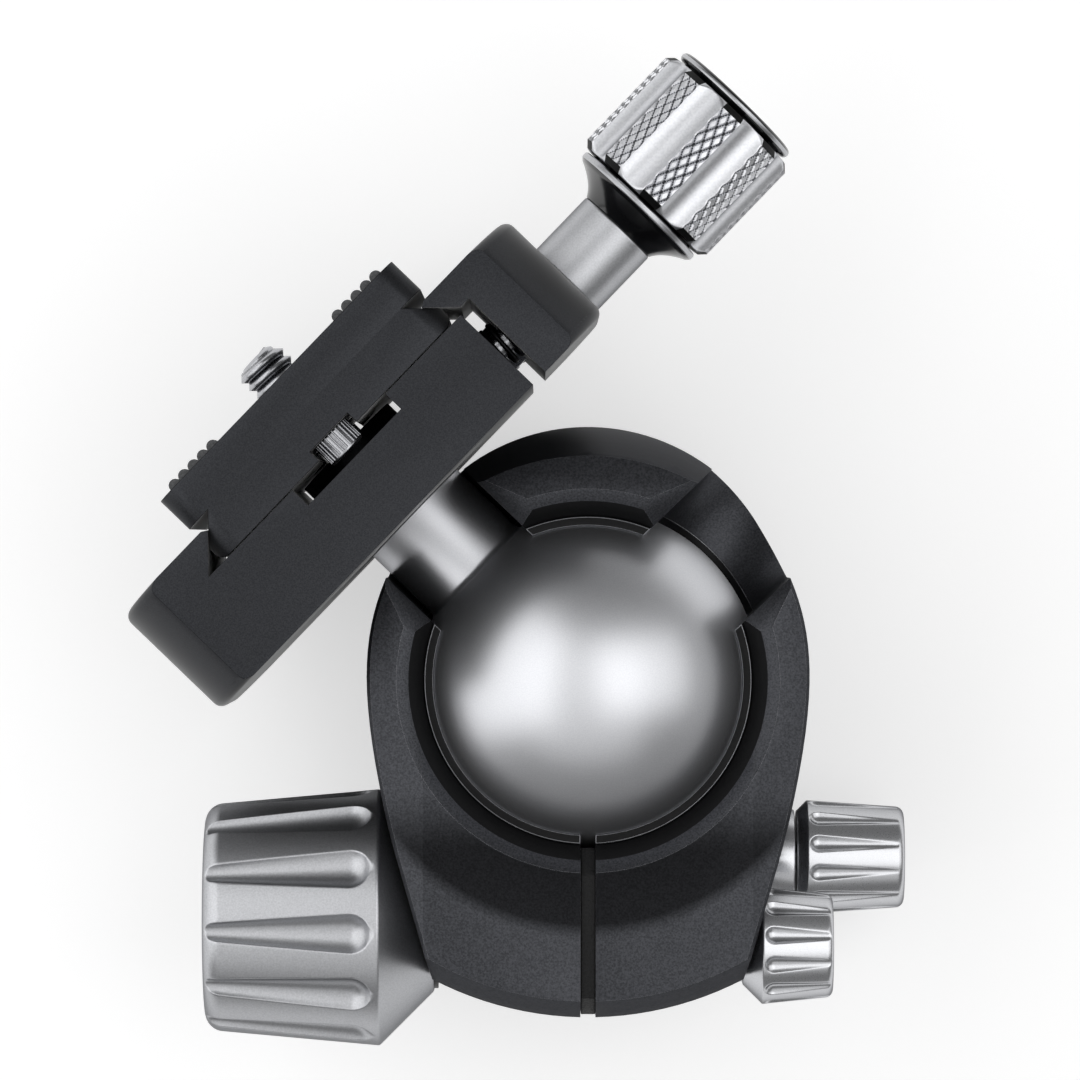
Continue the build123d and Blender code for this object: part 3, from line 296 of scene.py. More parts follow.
def blasted_black_anodised_collar(tree, shader):
    """The collar's blasted black: its faces fall away a little outwards, which the lamps show,
    and a painted shadow of the ball darkens its colour in a crescent over the chin."""
    blasted_black_anodised_aluminium(tree, shader)
    where = add(tree, "ShaderNodeTexCoord").outputs["Object"]
    where = add(tree, "ShaderNodeVectorMath", {0: where, 1: BALL_CENTRE}, operation="SUBTRACT")
    parts = add(tree, "ShaderNodeSeparateXYZ", {0: where.outputs[0]}).outputs
    behind = add(tree, "ShaderNodeMath", {0: parts["Y"], 1: 0.0}, operation="MAXIMUM")
    spots = [add(tree, "ShaderNodeCombineXYZ", {"X": parts["X"], "Y": y}).outputs[0]
             for y in (behind.outputs[0], parts["Y"])]
    outward, radius = [add(tree, "ShaderNodeVectorMath", {0: spot}, operation="LENGTH")
                       .outputs["Value"] for spot in spots]
    fall = remap(tree, outward, *FALL_SPAN, 0.0, (FALL_SPAN[0] - FALL_SPAN[1]) * FACE_FALL)
    grains = shader.inputs["Normal"].links[0].from_node
    lean = add(tree, "ShaderNodeBump", {"Height": fall, "Distance": 1.0})
    tree.links.new(lean.outputs["Normal"], grains.inputs["Normal"])
    # painted shadow: the colour is darkened in a crescent over the chin, where the ball's shade
    # falls
    painted_shadow = ramp(tree, remap(tree, radius, *PAINTED_SHADOW_SPAN, 0.0, 1.0),
                [(share, (shade, shade, shade)) for share, shade in PAINTED_SHADOW_STOPS])
    shadow_over_chin = remap(tree, parts["Y"], *CHIN_SPAN, 1.0, 0.0, interpolation_type="SMOOTHSTEP")
    colour = shader.inputs["Base Color"].links[0].from_socket
    mixed = add(tree, "ShaderNodeMix", {"Factor": shadow_over_chin, "A": colour, "B": painted_shadow},
                data_type="RGBA", blend_type="MULTIPLY")
    tree.links.new(mixed.outputs["Result"], shader.inputs["Base Color"])


def painted_shade_black(tree, shader):
    """Painted shade, matt and so black that the ball seems to float in it: the wall round the
    liner, and shaded edges and chamfers.
    """
    surface(tree, shader, 0.2, ("#050506", "#0A0A0B"), (0.5, 0.6),
            kind={"Specular IOR Level": 0.15})


def fine_blasted_black_anodised_aluminium(tree, shader):
    """Blasted with finer beads: an even black, with a dusty grey bloom on what turns away."""
    bloom = {"Sheen Weight": 0.35, "Sheen Roughness": 0.4}
    surface(tree, shader, 0.16, ("#2D2E31", "#3A3B3E"), (0.34, 0.46), (0.008, 0.5), 3.0,
            {**DARK_METAL, **bloom})


def painted_edge_highlight(tree, shader):
    """Painted highlight along rounded edges: dark metal coloured far lighter than the faces, as a
    thin bright line.
    """
    surface(tree, shader, 0.2, ("#8E8F93", "#A0A1A5"), (0.3, 0.4), kind=DARK_METAL)


def blasted_clear_anodised_aluminium(tree, shader):
    """Bead-blasted and clear anodised: metal that spreads the lamps into broad bands."""
    surface(tree, shader, 0.2, ("#B6B7BA", "#C6C7CA"), (0.33, 0.45), (0.01, 0.5), 3.0, CLEAR_METAL)


def turned_clear_anodised_aluminium(tree, shader):
    """Turned, lightly blasted and clear anodised: bright metal with soft-edged reflections."""
    surface(tree, shader, 0.12, ("#C8C9CC", "#D5D6D9"), (0.24, 0.34), (0.004, 0.4),
            kind=CLEAR_METAL)


def satin_clear_anodised_aluminium(tree, shader):
    """Satin-finished ball and neck: broad soft highlights over a very fine grain."""
    surface(tree, shader, 0.14, ("#D6D7DB", "#DFE0E3"), (0.38, 0.44), (0.005, 0.4), 3.0,
            CLEAR_METAL)


def knurled_clear_anodised_aluminium(tree, shader):
    """Pressed knurl: small bright facets; the faces by its grooves take a painted shade from
    another finish.
    """
    surface(tree, shader, 0.3, ("#D4D5D9", "#E2E3E6"), (0.33, 0.42), kind=CLEAR_METAL)


def painted_shade_in_knurl_grooves(tree, shader):
    """Painted shade in the pressed grooves: darker, duller metal on the faces beside them, which
    draws the diamonds.
    """
    surface(tree, shader, 0.2, ("#606165", "#75767A"), (0.4, 0.5), kind=BARE_METAL)


def polished_black_anodised_aluminium(tree, shader):
    """Turned smooth and dyed black: deep black with sharp narrow highlights."""
    surface(tree, shader, 0.25, ("#0B0B0C", "#121214"), (0.13, 0.2),
            kind={"Specular IOR Level": 0.7})


def bare_edge_and_painted_highlight(tree, shader):
    """A thin band of bare metal, greyer than the rest: turned again after the dyeing on the
    flange's rim, and a painted highlight along the crest of the cap's round edge.
    """
    surface(tree, shader, 0.12, ("#A9AAAD", "#BCBDC0"), (0.26, 0.36), kind=BARE_METAL)


def turned_steel(tree, shader):
    """Turned stainless steel: cooler and darker than the aluminium, with tool marks."""
    surface(tree, shader, 0.1, ("#A3A4A8", "#B9BABD"), (0.2, 0.32), (0.003, 0.4), kind=BARE_METAL)


def black_oxide_spring_wire(tree, shader):
    """Oiled black oxide on wire: nearly black, with a thin oily shine."""
    surface(tree, shader, 0.15, ("#141416", "#232326"), (0.25, 0.4), kind={"Metallic": 0.6})


def turned_brass(tree, shader):
    """Turned brass: yellow metal with fine tool marks."""
    surface(tree, shader, 0.12, ("#B99A55", "#CBAE69"), (0.25, 0.35), kind=BARE_METAL)


def moulded_black_acetal(tree, shader):
    """Acetal: a smooth, slightly waxy black plastic."""
    surface(tree, shader, 0.8, ("#0A0A0B", "#101011"), (0.4, 0.5),
            kind={"Specular IOR Level": 0.15})


def moulded_black_rubber(tree, shader):
    """Rubber strip: dull black with a coarse pebble that scatters the light."""
    surface(tree, shader, 0.35, ("#020202", "#161617"), (0.5, 0.8), (0.15, 1.0), 4.0,
            {"Specular IOR Level": 0.3})


def ribbed_grey_rubber(tree, shader):
    """Grey rubber with a dry skin: dull, with slight rubbing on its ridges."""
    surface(tree, shader, 0.3, ("#3E3F41", "#5A5B5D"), (0.45, 0.65), (0.02, 0.6), 4.0)


# ---- meshes
def new_object(name, data):
    made = bpy.data.objects.new(name, data)
    bpy.context.scene.collection.objects.link(made)
    return made


def piece_from(name, verts, faces, place, smooth=True):
    """Closed piece from local points; faces are turned outwards and its place is in its mesh."""
    mesh = bpy.data.meshes.new(name)
    mesh.from_pydata(verts, [], faces)
    mesh.transform(place)
    shell = bmesh.new()
    shell.from_mesh(mesh)
    bmesh.ops.recalc_face_normals(shell, faces=shell.faces)
    shell.to_mesh(mesh)
    shell.free()
    if smooth:
        mesh.shade_smooth()
    return new_object(name, mesh)


def hand_over(piece, recipe, *nodes, stretch=None):
    """Gives a piece its finish and lets it stand for CAD nodes of one body; with a stretch, given
    as two bodies and two points, the piece joins no body and its place is baked into its mesh; the
    bodies and points are not used."""
    record = frame["record"]
    body = next(b for b, members in record["behaviour"]["bodies"].items() if nodes[0] in members)
    piece.data.materials.clear()
    piece.data.materials.append(finish(recipe))
    if stretch:
        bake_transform(piece)
    else:
        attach(piece, body)
    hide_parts(*nodes)


def trim(piece, recipe, place, along, out):
    """Another finish for the faces within a span along a place's axis and one out from it."""
    piece.data.materials.append(finish(recipe))
    to_local = place.inverted()
    for polygon in piece.data.polygons:
        middle = to_local @ polygon.center
        if along[0] < middle.z < along[1] and out[0] < hypot(middle.x, middle.y) < out[1]:
            polygon.material_index = len(piece.data.materials) - 1


def keep_node(recipe, *nodes):
    """CAD nodes whose shape is already right get their finish."""
    for node in nodes:
        held = frame["nodes"][node].data.materials
        held.clear()
        held.append(finish(recipe))


def rounded_copy(name, node, recipe, width, edge_recipe=None):
    """Copy of a CAD node with its edges rounded and its curved walls shaded smooth."""
    mesh = frame["nodes"][node].data.copy()
    mesh.name = name
    shell = bmesh.new()
    shell.from_mesh(mesh)
    bmesh.ops.remove_doubles(shell, verts=shell.verts, dist=WELD)
    bmesh.ops.dissolve_limit(
        shell, angle_limit=FLAT_TURN, verts=shell.verts, edges=shell.edges)
    shell.to_mesh(mesh)
    shell.free()
    mesh.shade_smooth()
    piece = new_object(name, mesh)
    rounding = piece.modifiers.new("Rounded edges", "BEVEL")
    rounding.width = width
    rounding.segments = 3
    rounding.limit_method = "ANGLE"
    rounding.angle_limit = settings().edges.edge_turn
    rounding.harden_normals = True
    hand_over(piece, recipe, node)
    # the bevel's faces take the edge finish: a painted highlight or a painted shade along the edges
    if edge_recipe:
        piece.data.materials.append(finish(edge_recipe))
        rounding.material = 1
    return piece


def polar(radius, turn):
    return radius * cos(turn), radius * sin(turn)


def soften(outline, radius, closed=False):
    """Outline with its corners rounded; a point beside each arc keeps the flats flat."""
    steps = 4
    corners = [Vector(p) for p in outline]
    last = len(corners) - 1
    result = []
    for i, corner in enumerate(corners):
        if not closed and i in (0, last):
            result.append(corner)
            continue
        back = corners[i - 1] - corner
        ahead = corners[(i + 1) % (last + 1)] - corner
        if pi - back.angle(ahead) < SHARP_TURN:
            result.append(corner)
            continue
        cut = min(radius, 0.4 * back.length, 0.4 * ahead.length)
        beside = 0.15 * cut
        start = corner + back.normalized() * cut
        end = corner + ahead.normalized() * cut
        result.append(start + back.normalized() * beside)
        for step in range(steps + 1):
            t = step / steps
            result.append(start * (1 - t) ** 2 + corner * 2 * t * (1 - t) + end * t * t)
        result.append(end + ahead.normalized() * beside)
    return result


def arc(centre, radius, start, end, steps):
    """Points of an arc in (distance, radius); angles run from the axis direction."""
    points = [polar(radius, start + (end - start) * i / steps) for i in range(steps + 1)]
    return [(centre + along, out) for along, out in points]


def turned(name, place, outline, steps=160, closed=False):
    """Piece turned about a place's axis from (distance, radius) points."""
    verts, rings = [], []
    for distance, radius in outline:
        first = len(verts)
        if radius < NO_RADIUS:
            verts.append((0, 0, distance))
            rings.append([first] * steps)
            continue
        verts += [(*polar(radius, 2 * pi * k / steps), distance) for k in range(steps)]
        rings.append(list(range(first, first + steps)))
    return piece_from(name, verts, ring_faces(rings, closed), place)


def ring_faces(rings, closed=False):
    """Faces between neighbouring rings; a ring of one repeated point is a pole."""
    faces = []
    pairs = list(zip(rings, rings[1:])) + ([(rings[-1], rings[0])] if closed else [])
    for lower, upper in pairs:
        for k in range(len(lower)):
            n = (k + 1) % len(lower)
            corners = dict.fromkeys((lower[k], lower[n], upper[n], upper[k]))
            if len(corners) > 2:
                faces.append(tuple(corners))
    return faces


def split_long(outline, step):
    """Outline whose points are no further apart than a step."""
    result = [outline[0]]
    for a, b in zip(outline, outline[1:]):
        count = max(1, int((b - a).length / step + 0.999))
        result += [a.lerp(b, i / count) for i in range(1, count + 1)]
    return result


def fluted(name, place, body, wide, narrow, phase, row_step):
    """Turned body with a ring of ball-ended flutes that narrow towards its end.
    wide and narrow give the cutter as (distance, cutter radius, depth of its lowest point)."""
    flutes = settings().knobs.flutes
    edge = settings().knobs.flute_edge
    sector = pi / flutes
    face = {end: radius_at(body, end) for end in (wide[0], narrow[0])}
    centres = [face[end[0]] + end[1] - end[2] for end in (wide, narrow)]

    def cutter(distance):
        """Distance of the cutter's axis from the knob's, and its radius."""
        t = (distance - wide[0]) / (narrow[0] - wide[0])
        if t < 0:
            return centres[0], sqrt(max(wide[1] ** 2 - (wide[0] - distance) ** 2, 0))
        centre = centres[0] + (centres[1] - centres[0]) * t
        return centre, max(wide[1] + (narrow[1] - wide[1]) * t, 0)

    in_flute, on_land = 10, 6       # columns across half a flute and half a land
    least_turn = 0.12 * sector      # columns keep this half width where there is no flute
    count = 2 * flutes * (in_flute + on_land)
    verts, rings = [], []
    for distance, radius in split_long([Vector(p) for p in body], row_step):
        first = len(verts)
        if radius < NO_RADIUS:
            verts.append((0, 0, distance))
            rings.append([first] * count)
            continue
        centre, cut = cutter(distance)
        half = 0.0
        if cut > 0 and centre - cut < radius:
            half = acos(min(1, (centre ** 2 + radius ** 2 - cut ** 2) / (2 * centre * radius)))
        edge_turn = max(half, least_turn)
        columns = [edge_turn * sin(pi / 2 * i / in_flute) for i in range(in_flute)]
        columns += [edge_turn + (sector - edge_turn) * (1 - cos(pi / 2 * i / on_land))
                    for i in range(on_land)]
        columns = [-c for c in reversed(columns[1:])] + columns + [sector]
        for flute in range(flutes):
            for turn in columns:
                depth = radius
                across = centre * sin(turn)
                if half > 0 and abs(across) < cut:
                    floor_radius = centre * cos(turn) - sqrt(cut ** 2 - across ** 2)
                    blend = max(edge - abs(radius - floor_radius), 0) / edge
                    depth = min(radius, floor_radius) - blend ** 2 * edge / 4
                verts.append((*polar(depth, phase + 2 * sector * flute + turn), distance))
        rings.append(list(range(first, first + count)))
    return piece_from(name, verts, ring_faces(rings), place)


def radius_at(outline, distance):
    """Outer radius of a turned outline at a distance."""
    found = 0.0
    for a, b in zip(outline, outline[1:]):
        low, high = sorted((a, b), key=lambda p: p[0])
        if low[0] <= distance <= high[0] and high[0] > low[0]:
            t = (distance - low[0]) / (high[0] - low[0])
            found = max(found, low[1] + (high[1] - low[1]) * t)
    return found


# ---- geometry nodes: wires and bars, on every point that they are given
def sweep_tree(name, path, **sizes):
    """Tree that sweeps a round section along a path whose inputs are the sizes, sets it on every
    input point, makes it real and gives it its finish."""
    tree = bpy.data.node_groups.get(name)
    if tree:
        return tree
    tree = bpy.data.node_groups.new(name, "GeometryNodeTree")
    rows = [("Points", "Geometry", None)]
    rows += [(label, "Float", size) for label, size in sizes.items()]
    rows += [("Section Radius", "Float", 0.3 * MM), ("Section Sides", "Int", 12),
             ("Material", "Material", None)]
    for label, kind, value in rows:
        socket = tree.interface.new_socket(
            name=label, in_out="INPUT", socket_type="NodeSocket" + kind)
        if value is not None:
            socket.default_value = value
    tree.interface.new_socket(name="Geometry", in_out="OUTPUT", socket_type="NodeSocketGeometry")
    given = add(tree, "NodeGroupInput").outputs
    section = add(tree, "GeometryNodeCurvePrimitiveCircle", {
        "Resolution": given["Section Sides"], "Radius": given["Section Radius"]})
    swept = add(tree, "GeometryNodeCurveToMesh", {
        "Curve": path(tree, given), "Profile Curve": section.outputs["Curve"],
        "Fill Caps": True})
    spread = add(tree, "GeometryNodeInstanceOnPoints", {
        "Points": given["Points"], "Instance": swept.outputs["Mesh"]})
    real = add(tree, "GeometryNodeRealizeInstances", {"Geometry": spread.outputs["Instances"]})
    dressed = add(tree, "GeometryNodeSetMaterial", {
        "Geometry": real.outputs["Geometry"], "Material": given["Material"]})
    add(tree, "NodeGroupOutput", {"Geometry": dressed.outputs["Geometry"]})
    return tree


def coil_path(tree, given):
    spiral = add(tree, "GeometryNodeCurveSpiral", {
        "Resolution": 48, "Rotations": given["Turns"], "Start Radius": given["Radius"],
        "End Radius": given["Radius"], "Height": given["Height"]})
    upright = add(tree, "GeometryNodeSetCurveNormal", {"Curve": spiral.outputs["Curve"]},
                  mode="Z_UP")
    return upright.outputs["Curve"]


def coil_tree():
    """Round wire or ridge wound round the local z: a spring, or the ridge of a thread."""
    return sweep_tree("Coil on points", coil_path, Radius=2 * MM, Height=5 * MM, Turns=5.0)


def bar_path(tree, given):
    end = add(tree, "ShaderNodeCombineXYZ", {"Z": given["Length"]})
    line = add(tree, "GeometryNodeCurvePrimitiveLine", {"End": end.outputs["Vector"]})
    return line.outputs["Curve"]


def bar_tree():
    """Straight bars along the local z, as pad ridges or the ridges of a knurled head."""
    return sweep_tree("Bars on points", bar_path, Length=10 * MM)


def grow(name, tree, place, points, recipe, **values):
    """Plain mesh of what a tree makes on local points; inputs are named with _ for spaces."""
    seed = bpy.data.meshes.new(name + "_points")
    seed.from_pydata(points, [], [])
    holder = new_object(name + "_points", seed)
    modifier = holder.modifiers.new("Growth", "NODES")
    modifier.node_group = tree
    values["Material"] = finish(recipe)
    for item in tree.interface.items_tree:
        value = values.get(item.name.replace(" ", "_"))
        if value is not None:
            modifier[item.identifier] = value
    graph = bpy.context.evaluated_depsgraph_get()
    mesh = bpy.data.meshes.new_from_object(holder.evaluated_get(graph))
    bpy.data.objects.remove(holder)
    mesh.name = name
    mesh.transform(place)
    return new_object(name, mesh)


def merge(name, *pieces):
    """One piece from several; each keeps its own closed surfaces and shading."""
    shell = bmesh.new()
    for piece in pieces:
        shell.from_mesh(piece.data)
        bpy.data.objects.remove(piece)
    mesh = bpy.data.meshes.new(name)
    shell.to_mesh(mesh)
    shell.free()
    return new_object(name, mesh)


# ---- one operator for each group of pieces
class BALLHEAD_OT_collar(bpy.types.Operator):
    """Finishes the split collar, the liner round the ball, the slit's seal and what is inside"""
    bl_idname = "ballhead.collar"
    bl_label = "Collar"

    def execute(self, context):
        edges = settings().edges
        collar_edge = 1.5 * edges.body_edge         # rounder than the clamp's and plate's edges
        # painted highlight: the collar's rounded edges are coloured light grey
        collar = rounded_copy("split_collar", "housing", blasted_black_anodised_collar,
                              collar_edge, painted_edge_highlight)
        ball_axis = place_on(BALL_CENTRE, UP, (1, 0, 0))
        # painted shade: the wall round the liner is coloured near black
        trim(collar, painted_shade_black, ball_axis, BORE_HEIGHTS, BORE_RADII)
        # painted highlight: the liner's rounded edges are coloured light grey
        rounded_copy("liner_ring", "ball_liner", moulded_black_acetal, edges.small_edge,
                     painted_edge_highlight)
        rounded_copy("slit_strip", "slit_seal", moulded_black_rubber, edges.small_edge)
        rounded_copy("bush_of_pan_knob", "pan_bush", turned_clear_anodised_aluminium,
                     2 * edges.small_edge)
        keep_node(moulded_black_acetal, "ball_seat", "main_washer")
        keep_node(turned_steel, "seat_spring", "retaining_screws", "friction_springs")
        keep_node(blasted_black_anodised_aluminium, "seat_ring")
        keep_node(turned_brass, "pan_cotter")
        return {"FINISHED"}


class BALLHEAD_OT_base(bpy.types.Operator):
    """Finishes the turning base and cuts the tripod thread into its bush"""
    bl_idname = "ballhead.base"
    bl_label = "Base"

    def execute(self, context):
        edges = settings().edges
        rounded_copy("turning_base", "pan_base", blasted_black_anodised_aluminium, edges.body_edge)
        rounded_copy("slide_washer", "pan_washer", moulded_black_acetal, edges.small_edge)
        start, end, outer = reach("thread_insert", TRIPOD_THREAD)
        bore = min(hypot(p.x, p.y) for p in local_points("thread_insert", TRIPOD_THREAD))
        pitch = INCH / 16
        outline = soften([(start, bore), (end, bore), (end, outer), (start, outer)],
                         0.3 * MM, closed=True)
        bush = turned("bush_body", TRIPOD_THREAD, outline, 96, closed=True)
        run = end - start - pitch
        ridge = grow("bush_thread", coil_tree(), TRIPOD_THREAD, [(0, 0, start + 0.5 * pitch)],
                     turned_steel, Radius=bore + 0.25 * pitch, Height=run, Turns=run / pitch,
                     Section_Radius=0.49 * pitch, Section_Sides=4)
        hand_over(merge("tripod_bush", bush, ridge), turned_steel, "thread_insert")
        return {"FINISHED"}


class BALLHEAD_OT_ball(bpy.types.Operator):
    """Makes the satin ball with its flat, and the neck with a rounded root"""
    bl_idname = "ballhead.ball"
    bl_label = "Ball and neck"

    def execute(self, context):
        _, flat, radius = reach("ball", NECK)
        edge = acos(flat / radius)
        outline = [Vector(p) for p in arc(0, radius, pi, edge, 120)]
        outline += [Vector((flat, 0.97 * outline[-1].y)), Vector((flat, 0))]
        hand_over(turned("satin_ball", NECK, outline, 256),
                  satin_clear_anodised_aluminium, "ball")
        start, end, neck = reach("ball_stem", NECK)
        root = 0.8 * MM             # round where the neck leaves the ball's flat
        spigot = 0.6 * neck         # the neck goes into the ball with this radius
        outline = [(start, 0), (start, spigot), (flat, spigot), (flat, neck + root)]
        outline += [(flat + root * (1 - cos(t)), neck + root * (1 - sin(t)))
                    for t in (pi / 12 * i for i in range(1, 7))]
        outline += [(end, neck), (end, 0)]
        hand_over(turned("neck", NECK, soften(outline, 0.15 * MM), 160),
                  satin_clear_anodised_aluminium, "ball_stem")
        keep_node(satin_clear_anodised_aluminium, "ball_core")
        return {"FINISHED"}


class BALLHEAD_OT_side_knobs(bpy.types.Operator):
    """Makes the three fluted knobs on the collar, with their screws and end plug"""
    bl_idname = "ballhead.side_knobs"
    bl_label = "Side knobs"

    def execute(self, context):
        plug_low, plug_end, plug = reach("main_knob_cap", MAIN_KNOB)
        seat = plug + 0.05 * MM     # bore round the plug
        side_knob("lock_knob", "main_knob", "main_screw", MAIN_KNOB,
                  blasted_clear_anodised_aluminium, taper=1.65, edge=2.2, corner=0.25,
                  wide=(3.35, 2.75, 1.4), narrow=(0.8, 1.05, 0.45), turn=-4.8, rows=0.36,
                  recess=[(plug_low, seat), (plug_low, 0)])
        dome = soften([(plug_low, 0), (plug_low, plug), (plug_end, plug), (plug_end, 0)], 0.3 * MM)
        hand_over(turned("lock_knob_plug", MAIN_KNOB, dome, 96),
                  blasted_clear_anodised_aluminium, "main_knob_cap")
        for name, node, screw, place, edge, narrow, turn in (
                ("drag_knob", "friction_knob", "friction_screw", FRICTION_KNOB, 0.9,
                 (0.6, 0.6, 0.16), 16.8),
                ("turn_lock_knob", "pan_knob", "pan_screw", PAN_KNOB, 1.0,
                 (0.9, 0.4, 0.03), 14.0)):
            side_knob(name, node, screw, place, turned_clear_anodised_aluminium, taper=0.75,
                      edge=edge, corner=0.15, wide=(1.35, 1.25, 0.6), narrow=narrow, turn=turn,
                      rows=0.15)
        keep_node(turned_steel, "main_screw", "friction_screw", "pan_screw")
        return {"FINISHED"}


def side_knob(name, node, screw, place, recipe, *, taper, edge, corner, wide, narrow, turn, rows,
              recess=()):
    """Fluted knob round its screw, from its CAD node's sizes; the other lengths are in mm. Its
    flank narrows by the taper to an edge rounded by a quarter circle, and a recess is the outline
    of a seat in its end. wide and narrow are the flutes' cutter as (distance, radius, depth), of
    which the narrow one counts its distance back from the end; turn is the first flute's."""
    back, end, outer = reach(node, place)
    _, screw_end, screw_radius = reach(screw, place)
    edge *= MM
    face = outer - taper * MM - edge
    body = [(screw_end, 0), (screw_end, screw_radius), (back, screw_radius),
            (back, outer + back), (0, outer)]
    steps = 8
    for t in (pi / 2 * i / steps for i in range(steps + 1)):
        body.append((end - edge * (1 - sin(t)), face + edge * cos(t)))
    body += [(end, recess[0][1]), *recess] if recess else [(end, 0)]
    wide = [size * MM for size in wide]
    from_end, *cut = [size * MM for size in narrow]
    knob = fluted(name, place, soften(body, corner * MM), wide, (end - from_end, *cut),
                  radians(turn), rows * MM)
    hand_over(knob, recipe, node)


class BALLHEAD_OT_clamp(bpy.types.Operator):
    """Finishes the clamp's base and jaw, and winds the springs between them"""
    bl_idname = "ballhead.clamp"
    bl_label = "Clamp"

    def execute(self, context):
        edges = settings().edges
        for name, node in (("clamp_body", "clamp_base"), ("clamp_jaw", "jaw")):
            # painted shade: the rounded edges of the clamp's base and jaw are coloured near black
            rounded_copy(name, node, fine_blasted_black_anodised_aluminium, edges.body_edge,
                         painted_shade_black)
        rounded_copy("jaw_guides", "guide_pins", turned_steel, edges.small_edge)
        keep_node(turned_steel, "centre_screw")
        low, high = span("jaw_springs", CLAMP_KNOB)
        wire = 0.3 * MM
        radius = (high.y - low.y) / 2 - wire
        spread = (high.x - low.x) / 2 - radius - wire
        springs = grow("jaw_coils", coil_tree(), CLAMP_KNOB,
                       [(side * spread, 0, low.z + wire) for side in (-1, 1)],
                       black_oxide_spring_wire, Radius=radius, Height=high.z - low.z - 2 * wire,
                       Turns=8.0, Section_Radius=wire, Section_Sides=14)
        springs.data.shade_smooth()
        ends = [CLAMP_KNOB @ Vector((0, 0, z)) for z in (low.z, high.z)]
        hand_over(springs, black_oxide_spring_wire, "jaw_springs",
                  stretch=("clamp", "jaw", *ends))
        return {"FINISHED"}


class BALLHEAD_OT_clamp_knob(bpy.types.Operator):
    """Makes the clamp knob: silver neck, black flange, knurled and scalloped grip, black cap"""
    bl_idname = "ballhead.clamp_knob"
    bl_label = "Clamp knob"

    def execute(self, context):
        start, end, neck = reach("knob_boss", CLAMP_KNOB)
        flange_start, _, flange = reach("knob_flange", CLAMP_KNOB)
        grip_start, grip_end, grip = reach("knob_grip", CLAMP_KNOB)
        cap_start, cap_end, cap = reach("knob_cap", CLAMP_KNOB)
        core = 4.0 * MM             # the neck's tube runs on inside the flange and the grip
        outline = soften([(start, 0), (start, neck), (flange_start, neck), (flange_start, core),
                          (end, core), (end, 0)], 0.3 * MM)
        hand_over(turned("knob_neck", CLAMP_KNOB, outline), blasted_clear_anodised_aluminium,
                  "knob_boss")

        gap, rim, step = 0.35 * MM, 0.8 * MM, 0.3 * MM      # grip to rim, the rim, rim to flare
        rim_end = grip_start - gap
        rim_start = rim_end - rim
        flare_end = rim_start - step
        rim_edge = 0.15 * MM
        outline = [(flange_start, core), (flange_start, neck)]
        for i in range(1, 17):      # the flare opens slowly at first
            t = i / 16
            outline.append((flange_start + (flare_end - flange_start) * (1.1 * t - 0.1 * t * t),
                            neck + (flange - 0.4 * MM - neck) * (0.45 * t + 0.55 * t * t)))
        outline += [(rim_start, flange - 0.1 * MM), (rim_start + rim_edge, flange),
                    (rim_end - rim_edge, flange), (rim_end, flange - rim_edge),
                    (rim_end, flange - 0.9 * MM), (grip_start, flange - 1.2 * MM),
                    (grip_start, core)]
        flare = turned("knob_flare", CLAMP_KNOB, soften(outline, 0.12 * MM, closed=True),
                       closed=True)
        hand_over(flare, polished_black_anodised_aluminium, "knob_flange")
        trim(flare, bare_edge_and_painted_highlight, CLAMP_KNOB, (rim_start, rim_end),
             (flange - 0.2 * MM, flange))

        knurled_grip("knob_sleeve", grip_start, grip_end, grip, core)

        lip = 0.35 * MM             # shadow gap between the grip and the cap
        line = 0.22 * MM            # half width of the painted highlight along the crest of the cap's round edge
        cap -= 0.2 * MM             # a little inside the CAD's disc
        nose = (cap_end - cap_start - lip) / 2
        middle = cap_end - nose
        inset = cap - 1.0 * MM
        outline = [(cap_start, 0), (cap_start, inset), (cap_start + lip, inset)]
        outline += [(along, cap - nose + out) for along, out in arc(middle, nose, pi, 0, 24)]
        outline += [(cap_end - 0.2 * lip, 0.82 * cap), (cap_end - 0.2 * lip, 0)]
        disc = turned("knob_end_disc", CLAMP_KNOB, outline)
        hand_over(disc, polished_black_anodised_aluminium, "knob_cap")
        # painted highlight: a bright band along the crest of the cap's round edge
        trim(disc, bare_edge_and_painted_highlight, CLAMP_KNOB, (middle - line, middle + line),
             (cap - 0.1 * MM, cap))
        keep_node(turned_steel, "clamp_screw")
        return {"FINISHED"}


